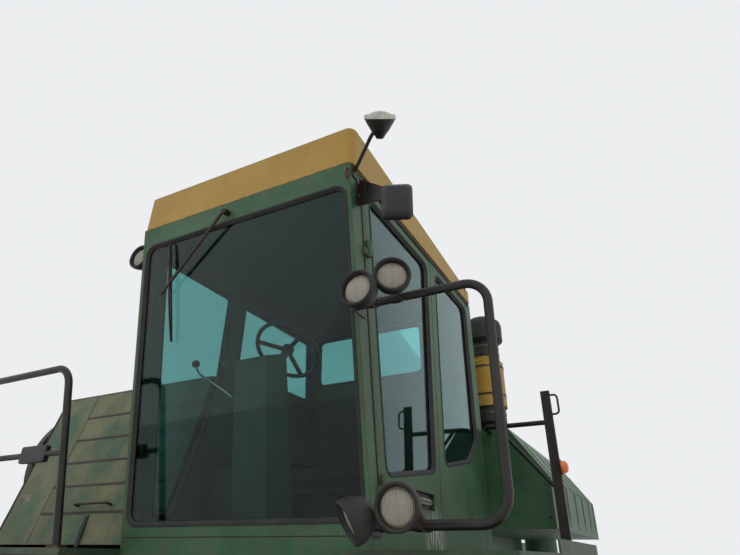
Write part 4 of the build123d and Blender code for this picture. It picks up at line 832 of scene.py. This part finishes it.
sheetX, sheetY = mirrorLook["sheet"][0][0], mirrorLook["sheetY"]
sheetFront = [(x, sheetY - (x - sheetX) * mirrorLook["sheetSlope"], z) for x, z in mirrorLook["sheet"]]
sheetRear = [(x, y + mirrorLook["sheetThick"], z) for x, y, z in sheetFront]
headPart = ringLoft([mirrorRing(*row) for row in mirrorLook["head"]])
bracketParts = [ringLoft([sheetFront, sheetRear]), boxPart(*mirrorLook["foot"])]
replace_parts(meshPiece("mirrorHead", [headPart], blackPlastic), "mirror")
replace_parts(meshPiece("mirrorBracket", bracketParts, paints["rail"]), "mirror")
meshPiece("mirrorGlass", [platePart(roundedOutline(*mirrorLook["glass"]),
                                    mirrorBack - mirrorWay * mirrorLook["glassSink"], mirrorSide, mirrorUp,
                                    mirrorLook["glassThick"], mirrorLook["glassBevel"])], mirrorSilver)
meshPiece("mirrorRim", [tubePart(mirrorRing(*mirrorLook["rim"]), mirrorLook["rimRadius"], 8, up=mirrorWay,
                                 wrap=True)], blackPlastic)
boltPiece("mirrorBolts", mirrorLook["bolts"], [unit(mirrorLook["boltWay"]), (1, 0, 0), (1, 0, 0)],
          mirrorLook["boltRadius"])
print("mirror made")

# grain tank: pressed ribs on its panels, seams at the shoulders, bolts along the end walls' edges
grainTank = dict(
    ribY=(-0.62, -0.22, 0.18, 0.58, 0.98, 1.30),
    ribLines=(  # (x, z) places up a panel
        ((1.780, 1.985), (1.780, 2.255), (1.548, 2.580)),  # left flank
        ((-1.780, 1.985), (-1.780, 2.255), (-1.548, 2.580)),  # right flank
        ((1.105, 2.625), (0.715, 3.015)),  # left of the head
        ((-1.515, 2.625), (-1.165, 3.015))),  # right of the head
    rib=((-0.0004, -0.034), (0.004, -0.028), (0.009, -0.018), (0.009, 0.018), (0.004, 0.028),
         (-0.0004, 0.034)),
    seamX=1.7803, seamY=(-0.83, 0.3, 1.4), seamZ=2.262, seam=(0.005, 0.0008),
    edge=((1.780, 1.985), (1.780, 2.260), (1.530, 2.610), (1.120, 2.610), (0.700, 3.030)),
    edgeMiddle=(0.8, 2.2), edgeIn=0.030, edgeStep=0.12, edgeSpan=(0.12, 0.88), frontY=-0.8302, endRun=1.4002,
    boltRadius=0.007)


def tankRib(line, y, section):
    # A low bevelled section carried up a panel's line, sunk to nothing over its first and last two steps
    path = np.array([(x, y, z) for x, z in line])
    away = np.array([1.0 if path[0, 0] > 0 else -1.0, 0.0, 0.35])
    fine = np.concatenate([path[k] + (path[k + 1] - path[k]) * np.linspace(0, 1, 8, endpoint=False)[:, None]
                           for k in range(len(path) - 1)] + [path[-1:]])
    tangent = np.gradient(fine, axis=0)
    tangent /= np.linalg.norm(tangent, axis=1)[:, None]
    out = np.cross(tangent, (0.0, 1.0, 0.0))
    out *= np.sign((out @ away))[:, None]
    fade = np.minimum(1.0, np.minimum(np.arange(len(fine)), np.arange(len(fine))[::-1]) / 2.0)[:, None]
    return ringLoft(swept(fine, section, fade * out, (0.0, 1.0, 0.0)))


meshPiece("tankRibs", [tankRib(line, y, grainTank["rib"]) for y in grainTank["ribY"]
                       for line in grainTank["ribLines"]], paints["green"])
tankSeams = [bandStrip([(sign * grainTank["seamX"], y, grainTank["seamZ"]) for y in grainTank["seamY"]],
                       *grainTank["seam"], (sign, 0, 0)) for sign in (1.0, -1.0)]
meshPiece("tankSeams", tankSeams, blackRubber)
edgeSpots = []
for start, end in zip(grainTank["edge"][:-1], grainTank["edge"][1:]):
    start, run = np.array(start), np.array(end) - start
    length = np.hypot(*run)
    inward = np.array([-run[1], run[0]]) / length
    inward *= np.sign(inward @ (np.array(grainTank["edgeMiddle"]) - start))
    for t in np.linspace(*grainTank["edgeSpan"], max(2, int(length / grainTank["edgeStep"]))):
        x, z = start + run * t + inward * grainTank["edgeIn"]
        edgeSpots.append((x, grainTank["frontY"], z))
boltPiece("tankFrontBolts", edgeSpots, (0, -1, 0), grainTank["boltRadius"])
boltPiece("tankRearBolts", np.array(edgeSpots) * (1, 0, 1) + (0, grainTank["endRun"], 0), (0, 1, 0),
          grainTank["boltRadius"])
print("grain tank dressed")

# cab inside: headliner, drive lever with its knob, small plate bolted at the head of the front post
cabInside = dict(
    liner=((-0.060, -2.770, 3.546), (1.300, -1.000, 3.5655), 0.012),
    lever=((0.370, -2.440, 2.570), (0.285, -2.445, 2.628), (0.085, -2.450, 2.745), (0.050, -2.450, 2.800)),
    leverBend=0.04, leverRadius=0.0065,
    knob=0.024, knobSpot=(0.052, -2.450, 2.788), knobWay=(-0.15, 0.0, 1.0),
    patch=(0.026, 0.070, 0.004), patchSpot=(0.7205, 1.632, 0.0004), patchThick=0.0022, patchBevel=0.0008,
    patchBolts=((0.7205, 1.655, 0.0024), (0.7205, 1.608, 0.0024)), boltRadius=0.005)
# the knob is a ball cut off at its foot: radius r sin a, distance r - r cos a
ball = cabInside["knob"]
knobProfile = [(ball * np.sin(a) + 0.0001, ball - ball * np.cos(a)) for a in np.linspace(0.35, np.pi, 12)]
knob = turnedPart(knobProfile, cabInside["knobSpot"], cabInside["knobWay"], 32)
patch = platePart(roundedOutline(*cabInside["patch"]), onWind(*cabInside["patchSpot"]), (1, 0, 0), windUp,
                  cabInside["patchThick"], cabInside["patchBevel"])
meshPiece("headliner", [boxPart(*cabInside["liner"])], blackVinyl)
meshPiece("driveLever", [tubePart(smoothPath(cabInside["lever"], cabInside["leverBend"]),
                                  cabInside["leverRadius"])], chromeSteel)
meshPiece("leverKnob", [knob], blackPlastic)
meshPiece("postPatch", [patch], rubbedSteel)
boltPiece("postPatchBolts", [onWind(*spot) for spot in cabInside["patchBolts"]], windNormal,
          cabInside["boltRadius"])
print("cab inside made")

# seat: pad and back swollen by cloth pressure, with sewn channels; a pad is its low and high corner, the
# axis that its channels follow one another along, and their places on it
seatLook = dict(
    voxel=0.006, pressure=4.0, frames=20, inset=0.014, corner=0.030, cap=0.022, channel=0.007,
    pads=(("seatPad", (0.362, -1.938, 2.1372), (0.838, -1.506, 2.250), 1, (-1.80, -1.66)),
          ("seatBack", (0.377, -1.501, 2.150), (0.823, -1.396, 2.772), 2, (2.33, 2.47, 2.61))))


def paddedCushion(name, low, high, channelAxis, channels, look):
    # A block, voxel remeshed, swollen by cloth pressure; a move longer than the cap is cut to it. A channel
    # sinks by depth exp(-(distance / depth)^2)
    low, high = np.array(low), np.array(high)
    points, faces = boxPart(low + look["inset"], high - look["inset"], look["corner"])
    mesh = bpy.data.meshes.new(name)
    mesh.from_pydata(points.tolist(), [], faces)
    piece = bpy.data.objects.new(name, mesh)
    bpy.context.scene.collection.objects.link(piece)
    remesh = piece.modifiers.new("voxels", "REMESH")
    remesh.mode = "VOXEL"
    remesh.voxel_size = look["voxel"]
    graph = bpy.context.evaluated_depsgraph_get()
    piece.data = bpy.data.meshes.new_from_object(piece.evaluated_get(graph))
    piece.modifiers.clear()
    before = meshPoints(piece.data)
    after = before.copy()
    cloth = piece.modifiers.new("puff", "CLOTH")
    cloth.settings.use_pressure = True
    cloth.settings.uniform_pressure_force = look["pressure"]
    cloth.settings.effector_weights.gravity = 0.0
    cloth.collision_settings.use_collision = False
    for number in range(1, look["frames"] + 1):
        bpy.context.scene.frame_set(number)
    graph = bpy.context.evaluated_depsgraph_get()
    after = meshPoints(bpy.data.meshes.new_from_object(piece.evaluated_get(graph)))
    piece.modifiers.clear()
    bpy.context.scene.frame_set(1)
    move = after - before
    length = np.maximum(np.linalg.norm(move, axis=1), 1e-9)[:, None]
    after = before + move * np.minimum(1.0, look["cap"] / length)
    thin, depth = 3 - channelAxis, look["channel"]
    for place in channels:
        fold = np.exp(-((after[:, channelAxis] - place) / depth) ** 2) * depth
        after[:, thin] += np.sign((low[thin] + high[thin]) / 2 - after[:, thin]) * fold
    after = np.clip(after, low, high)
    piece.data.vertices.foreach_set("co", after.ravel())
    piece.data.polygons.foreach_set("use_smooth", np.ones(len(piece.data.polygons), bool))
    piece.data.update()
    piece.data.materials.clear()
    piece.data.materials.append(blackVinyl)
    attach(piece, "machine")
    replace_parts(piece, "seat_cushions")


for name, low, high, channelAxis, channels in seatLook["pads"]:
    paddedCushion(name, low, high, channelAxis, channels, seatLook)
print("seat padded")

# belt drives on the body's flanks: grooved sheaves on stub shafts, a flat belt round each pair; a pair is
# its side, then each sheave's (y, z) and groove radius
beltDrives = dict(
    hull=0.780, standOff=0.040, width=0.024, thick=0.011, edge=0.86, lip=0.014, flange=0.005, gap=0.0003,
    hubRadius=0.042, shaft=(0.022, 0.019, 0.050, 0.003), boltCircle=0.032, bolt=(0.0055, 0.005),
    boltAngles=(90, 210, 330),
    pairs=((1, (1.780, 1.210), 0.150, (2.260, 1.560), 0.080),
           (-1, (1.620, 1.300), 0.170, (2.220, 1.500), 0.095)))


def beltLoop(first, firstRadius, second, secondRadius, x):
    # Two arcs joined by outer tangents: tangent points lie at acos((R - r) / distance) from the centre line
    first, second = np.array(first), np.array(second)
    run = second - first
    heading = np.arctan2(run[1], run[0])
    wrap = np.arccos((firstRadius - secondRadius) / np.linalg.norm(run))
    big = heading + np.linspace(wrap, 2 * np.pi - wrap, 40)
    small = heading + np.linspace(-wrap, wrap, 28)
    loop = np.concatenate([first + firstRadius * np.stack([np.cos(big), np.sin(big)], 1),
                           second + secondRadius * np.stack([np.cos(small), np.sin(small)], 1)])
    return np.concatenate([np.full((len(loop), 1), x), loop], 1)


def sheave(side, y, z, groove, look):
    # Lathes: a rim with a groove, web and hub, then its shaft; three bolts on the hub's face
    flange, width = look["flange"], look["width"] + 2 * (look["flange"] + look["gap"])
    lip, web, hub = groove + look["lip"], groove - look["lip"], look["hubRadius"]
    x = side * (look["hull"] + look["standOff"])
    profile = ((0.0002, 0), (lip - 0.002, 0), (lip, 0.001), (lip, flange - 0.001), (groove, flange),
               (groove, width - flange), (lip, width - flange + 0.001), (lip, width - 0.001),
               (lip - 0.002, width), (web, width), (web - 0.003, width / 2), (hub, width / 2), (hub, width),
               (0.0002, width))
    thick, tip, reach, bevel = look["shaft"]
    shaft = ((thick, 0), (thick, width + reach), (tip, width + reach + bevel))
    parts = [turnedPart(profile, (x, y, z), (side, 0, 0), 72),
             turnedPart(shaft, (side * (look["hull"] - 0.0002), y, z), (side, 0, 0), 32)]
    circle = look["boltCircle"]
    for a in np.radians(look["boltAngles"]):
        spot = (x + side * (width / 2 + 0.0003), y + circle * np.cos(a), z + circle * np.sin(a))
        parts.append(boltPart(spot, (side, 0, 0), *look["bolt"])[1])
    return parts


sheaves, belts = [], []
beltTall, beltWide = beltDrives["thick"] / 2, beltDrives["width"] / 2
beltEdge = beltWide * beltDrives["edge"]
beltSection = ((-beltTall, -beltWide), (beltTall, -beltEdge), (beltTall, beltEdge), (-beltTall, beltWide))
beltX = sum(beltDrives[key] for key in ("hull", "standOff", "flange", "gap")) + beltWide
level = beltDrives["gap"] + beltTall
for side, first, firstRadius, second, secondRadius in beltDrives["pairs"]:
    sheaves += sheave(side, *first, firstRadius, beltDrives)
    sheaves += sheave(side, *second, secondRadius, beltDrives)
    loop = beltLoop(first, firstRadius + level, second, secondRadius + level, side * beltX)
    belts.append(tubePart(loop, 1.0, up=(1, 0, 0), section=beltSection, wrap=True))
meshPiece("driveSheaves", sheaves, castIron)
meshPiece("driveBelts", belts, blackRubber)
print("belt drives made")

# feeder house: pressed ribs over its top and flanks, inspection hatch with its bolts
feederLook = dict(
    pivot=(-1.950, 1.330), angle=np.radians(19.0), halfWidth=0.550, halfHeight=0.300,
    ribs=(0.52, 0.96, 1.40), ribHalf=0.020, ribHigh=0.012, ribFoot=0.86, hatchHalf=0.240,
    hatchSpan=(0.620, 0.880), hatchThick=0.008, hatchSink=0.0004, hatchCorner=0.020,
    boltX=(-0.215, 0.0, 0.215), boltIn=0.025, boltRadius=0.008)


def onFeeder(x, along, up):
    # A place on the feeder: along it towards the nose, and up square to that
    cosine, sine = np.cos(feederLook["angle"]), np.sin(feederLook["angle"])
    return np.array([x, feederLook["pivot"][0] - along * cosine - up * sine,
                     feederLook["pivot"][1] - along * sine + up * cosine])


def feederRib(along, look):
    # A low bevelled section that runs up one flank, over the top and down the other
    half, high, wide = look["halfWidth"], look["halfHeight"], look["ribHalf"]
    foot, proud = -high * look["ribFoot"], look["ribHigh"]
    corners = ((-half, foot), (-half, high), (half, high), (half, foot))
    section = ((-0.0004, -wide), (proud, -wide * 0.6), (proud, wide * 0.6), (-0.0004, wide))
    return ringLoft([[onFeeder(x + outX * lift, along + shift, up + outUp * lift) for lift, shift in section]
                     for (x, up), (outX, outUp) in zip(corners, ((-1, 0), (-1, 1), (1, 1), (1, 0)))])


hatchLow, hatchHigh = feederLook["hatchSpan"]
feederUp = onFeeder(0, 0, 1) - onFeeder(0, 0, 0)
feederAlong = onFeeder(0, 1, 0) - onFeeder(0, 0, 0)
hatchTop = feederLook["halfHeight"] + feederLook["hatchThick"]
feederRibs = [feederRib(along, feederLook) for along in feederLook["ribs"]]
meshPiece("feederRibs", feederRibs, paints["green"], "feeder")
meshPiece("feederHatch", [platePart(
    roundedOutline(2 * feederLook["hatchHalf"], hatchHigh - hatchLow, feederLook["hatchCorner"]),
    onFeeder(0, (hatchLow + hatchHigh) / 2, feederLook["halfHeight"] - feederLook["hatchSink"]), (1, 0, 0),
    -feederAlong, feederLook["hatchThick"])], paints["green"], "feeder")
boltPiece("feederHatchBolts", [onFeeder(x, along, hatchTop) for x in feederLook["boltX"] for along in
                               (hatchLow + feederLook["boltIn"], hatchHigh - feederLook["boltIn"])],
          feederUp, feederLook["boltRadius"], "feeder")
print("feeder dressed")

# body: seams and bolts of the hood's side panels, tail lamps, air cleaner's clamps and screws, amber lamp
bodyLook = dict(
    hoodX=0.7802, panels=((2.560, 3.230, 1.190, 1.860), (3.290, 3.700, 1.230, 1.560)), seam=(0.005, 0.0007),
    boltIn=(0.03, 0.025), boltRadius=0.007, slope=(0.500, 0.350), slopeHead=(0.620, 3.350, 1.950),
    lampRun=0.300, cleaner=(1.330, -0.500), amber=(1.8803, -0.985, 2.300),
    cup=((0.0002, 0.0), (0.051, 0.0), (0.052, 0.002), (0.052, 0.010), (0.0485, 0.012), (0.0485, 0.0145),
         (0.0002, 0.0145)),
    lens=((0.0002, 0.0148), (0.0455, 0.0148), (0.0450, 0.022), (0.0385, 0.030), (0.022, 0.0335),
          (0.0002, 0.0345)),
    clamps=((0.1402, 2.935), (0.1402, 3.165), (0.1252, 2.790), (0.1182, 3.285), (0.1182, 3.345)),
    band=((-0.0002, -0.009), (0.0022, -0.009), (0.0026, -0.004), (0.0026, 0.004), (0.0022, 0.009),
          (-0.0002, 0.009)), screwOut=0.0028, screwAngle=-2.2, screwRadius=0.006,
    dome=((0.0002, 0.0), (0.043, 0.0), (0.0435, 0.006), (0.0405, 0.0065), (0.0400, 0.020), (0.0360, 0.034),
          (0.0270, 0.043), (0.0140, 0.0475), (0.0002, 0.0485)),
    domeRim=((0.0437, -0.0002), (0.0470, -0.0002), (0.0470, 0.006), (0.0437, 0.008)))
hoodSeams, hoodSpots, hoodWays, tailCups, tailLenses = [], [], [], [], []
slope = np.array(bodyLook["slope"]) / np.hypot(*bodyLook["slope"])
slopeRun, slopeOut = np.array([0.0, slope[0], -slope[1]]), np.array([0.0, slope[1], slope[0]])
for sign in (1, -1):
    x = sign * bodyLook["hoodX"]
    for y0, y1, z0, z1 in bodyLook["panels"]:
        corners = [(x, y0, z0), (x, y1, z0), (x, y1, z1), (x, y0, z1)]
        hoodSeams += [bandStrip([corners[k], corners[(k + 1) % 4]], *bodyLook["seam"], (sign, 0, 0))
                      for k in range(4)]
        inY, inZ = bodyLook["boltIn"]
        hoodSpots += [(x, y, z) for y in np.linspace(y0 + inY, y1 - inY, 5) for z in (z0 + inZ, z1 - inZ)]
        hoodWays += [(sign, 0, 0)] * 10
    foot = np.array(bodyLook["slopeHead"]) * (sign, 1, 1)
    foot += slopeRun * bodyLook["lampRun"] + slopeOut * 0.0003
    tailCups.append(turnedPart(bodyLook["cup"], foot, slopeOut))
    tailLenses.append(turnedPart(bodyLook["lens"], foot, slopeOut))
meshPiece("hoodSeams", hoodSeams, blackRubber)
boltPiece("hoodBolts", hoodSpots, hoodWays, bodyLook["boltRadius"])
meshPiece("tailCups", tailCups, blackPlastic)
meshPiece("tailLenses", tailLenses, redLens)
cleanerX, cleanerY = bodyLook["cleaner"]
screwWay = np.array([np.cos(bodyLook["screwAngle"]), np.sin(bodyLook["screwAngle"]), 0.0])
clamps = [turnedRing([(radius + out, z + rise) for out, rise in bodyLook["band"]], (cleanerX, cleanerY, 0.0),
                     (0, 0, 1)) for radius, z in bodyLook["clamps"]]
meshPiece("cleanerClamps", clamps, dullSteel)
boltPiece("cleanerScrews", [np.array([cleanerX, cleanerY, z]) + screwWay * (radius + bodyLook["screwOut"])
                            for radius, z in bodyLook["clamps"][:4]], screwWay, bodyLook["screwRadius"])
dome = turnedPart(bodyLook["dome"], bodyLook["amber"], (1, 0, 0), 48)
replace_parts(meshPiece("amberDome", [dome], amberLens), "amber_lamp")
meshPiece("amberRim", [turnedRing(bodyLook["domeRim"], bodyLook["amber"], (1, 0, 0))], blackRubber)
print("body dressed")

# tyres: outer half profile (radius, distance from the middle) from the bead to the crown; wall at the crown,
# lining's bead radius and half width. A lug: how far out its tip, width, slant and reach across the tread;
# from which share of its length the tip falls, and how fast; its widening; its foot's depth; its section
driveTyre = dict(
    section=((0.382, 0.200), (0.382, 0.236), (0.386, 0.2408), (0.404, 0.2412), (0.416, 0.252),
             (0.440, 0.268), (0.446, 0.2745), (0.452, 0.270), (0.520, 0.287), (0.600, 0.2945),
             (0.680, 0.295), (0.740, 0.290), (0.775, 0.280), (0.800, 0.260), (0.814, 0.220),
             (0.820, 0.120), (0.8215, 0.0)),
    wall=0.032, bead=0.3835, liningHalf=0.2583, lugs=20, tip=0.8598, width=0.052, slant=0.30,
    reach=(0.008, 0.288), fall=(0.86, 0.17), widening=0.25, foot=0.012,
    lug=((-1.15, 0), (-0.78, 1), (0.78, 1), (1.15, 0)))
rearTyre = dict(
    section=((0.3058, 0.090), (0.3058, 0.112), (0.309, 0.116), (0.3245, 0.1162), (0.334, 0.124),
             (0.365, 0.137), (0.371, 0.1405), (0.377, 0.1375), (0.430, 0.1445), (0.480, 0.143),
             (0.520, 0.134), (0.540, 0.118), (0.549, 0.096), (0.5535, 0.082), (0.540, 0.079),
             (0.540, 0.065), (0.5548, 0.062), (0.5548, 0.034), (0.540, 0.031), (0.540, 0.017),
             (0.5549, 0.014), (0.555, 0.0)),
    wall=0.0224, bead=0.3075, liningHalf=0.0738)
# wheels: centre of the left one (the right is its mirror image), bolt circle, bolt count and size, tyre
wheelLook = dict(
    drive=dict(centre=(1.42, -1.45, 0.860), circle=0.115, bolts=10, boltRadius=0.011, tyre=driveTyre),
    rear=dict(centre=(1.20, 2.0, 0.555), circle=0.075, bolts=6, boltRadius=0.009, tyre=rearTyre),
    searchHalf=0.045, firstBolt=0.2)


def faceDepth(name, centre, circle, reach, sign):
    # How far out the disc's outer face stands, from the rim's points within reach of the bolt circle
    points = meshPoints(nodes[name].data)
    radius = np.hypot(points[:, 1] - centre[1], points[:, 2] - centre[2])
    return float((points[np.abs(radius - circle) < reach, 0] * sign).max())


def tyreBody(look, middle, steps=120):
    # Lathe of a closed section: the half profile and its mirror image, then the lining, whose radius falls
    # off as the fourth power of the distance from the middle
    outer = list(look["section"]) + [(r, -a) for r, a in look["section"][-2::-1]]
    top = look["section"][-1][0] - look["wall"]
    drop = top - look["bead"] - 0.03
    edge = look["section"][0][1] - 0.01
    lining = [(top - drop * share ** 4, share * look["liningHalf"]) for share in np.linspace(-1, 1, 15)]
    lining = [(look["bead"], -edge), *lining, (look["bead"], edge)]
    return turnedRing(outer + lining, middle, (1, 0, 0), steps)


def tyreLugs(look, middle):
    # Lug k of a side, t from its inner to its outer end: its angle is (k + side / 4) pitch + slant (t - 1/2)
    # the tread's radius under it comes from the profile's ten points next to the crown
    radius, axial = np.array(look["section"])[::-1][:10].T
    t = np.linspace(0, 1, 9)
    (start, end), (fallFrom, fall) = look["reach"], look["fall"]
    place = start + (end - start) * t
    base = np.interp(place, axial, radius)
    tip = np.where(t < fallFrom, look["tip"], look["tip"] - (t - fallFrom) * fall)
    half = look["width"] / 2 * (1 + look["widening"] * t)
    parts = []
    for side in (1, -1):
        for k in range(look["lugs"]):
            turn = np.radians(270) + (k + 0.25 * side) * 2 * np.pi / look["lugs"] + look["slant"] * (t - 0.5)
            rings = []
            for share, level in look["lug"]:
                r = (base - look["foot"]) * (1 - level) + tip * level
                angle = turn + share * half / tip
                rings.append(np.stack([side * place, r * np.cos(angle), r * np.sin(angle)], -1))
            parts.append(ringLoft(np.stack(rings, 1) + np.asarray(middle)))
    return parts


for hand, sign in (("left", 1), ("right", -1)):
    for kind in ("drive", "rear"):
        look, body = wheelLook[kind], f"{kind}_wheel_{hand}"
        _, y, z = look["centre"]
        face = faceDepth(f"{kind}_rim_{hand}", look["centre"], look["circle"], wheelLook["searchHalf"], sign)
        angles = np.linspace(0, 2 * np.pi, look["bolts"], endpoint=False) + wheelLook["firstBolt"]
        spots = [(sign * (face + 0.0002), y + look["circle"] * np.cos(a), z + look["circle"] * np.sin(a))
                 for a in angles]
        boltPiece(f"{kind}WheelBolts_{hand}", spots, (sign, 0, 0), look["boltRadius"], body)
        centre = np.array(look["centre"]) * (sign, 1, 1)
        parts = [tyreBody(look["tyre"], centre)]
        if kind == "drive":
            parts += tyreLugs(look["tyre"], centre)
        tyre = meshPiece(f"{kind}Tyre_{hand}", parts, tyreRubber, body)
        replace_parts(tyre, f"{kind}_tyre_{hand}")
print("wheels and tyres made")

# floor, backdrop and lights: lamp's name, place, strength and spread in degrees
studio = dict(
    floor="#d9d8d4", reach=60.0, sky="#eceef0", worldLight=0.50,
    lamps=(("keyLamp", (5.0, -8.0, 9.0), 1.35, 50.0), ("fillLamp", (-8.0, -5.0, 5.0), 0.75, 70.0),
           ("backLamp", (2.0, 9.0, 7.0), 0.75, 70.0)))


def makeStudio(look):
    # A wide pale floor under the wheels, a pale world that eye and reflections see, and broad soft suns
    floorMaterial, tree, _ = newMaterial("paleFloor")
    shader = addNode(tree, "BsdfPrincipled", Base_Color=linearColour(look["floor"]), Roughness=0.9)
    addNode(tree, "OutputMaterial", Surface=shader)
    mesh = bpy.data.meshes.new("studioFloor")
    reach = look["reach"]
    mesh.from_pydata([(-reach, -reach, 0), (reach, -reach, 0), (reach, reach, 0), (-reach, reach, 0)], [],
                     [(0, 1, 2, 3)])
    mesh.materials.append(floorMaterial)
    floor = bpy.data.objects.new("studioFloor", mesh)
    bpy.context.scene.collection.objects.link(floor)
    world = bpy.data.worlds.new("studioSky")
    bpy.context.scene.world = world
    world.use_nodes = True
    tree = world.node_tree
    tree.nodes.clear()
    path = addNode(tree, "LightPath").outputs
    seen = addNode(tree, "Math", {"operation": "MAXIMUM"}, i0=path["Is Camera Ray"],
                   i1=path["Is Transmission Ray"])
    seen = addNode(tree, "Math", {"operation": "MAXIMUM"}, i0=seen, i1=path["Is Glossy Ray"])
    strength = addNode(tree, "MapRange", Value=seen, To_Min=look["worldLight"], To_Max=1.0)
    back = addNode(tree, "Background", Color=linearColour(look["sky"]), Strength=strength)
    addNode(tree, "OutputWorld", Surface=back)
    for name, spot, strength, spread in look["lamps"]:
        data = bpy.data.lights.new(name, "SUN")
        data.energy = strength
        data.angle = np.radians(spread)
        lamp = bpy.data.objects.new(name, data)
        lamp.matrix_world = Vector(spot).to_track_quat("Z", "Y").to_matrix().to_4x4()
        lamp.visible_glossy = False
        bpy.context.scene.collection.objects.link(lamp)


makeStudio(studio)
bpy.context.scene.view_settings.view_transform = "Standard"
print("studio set")
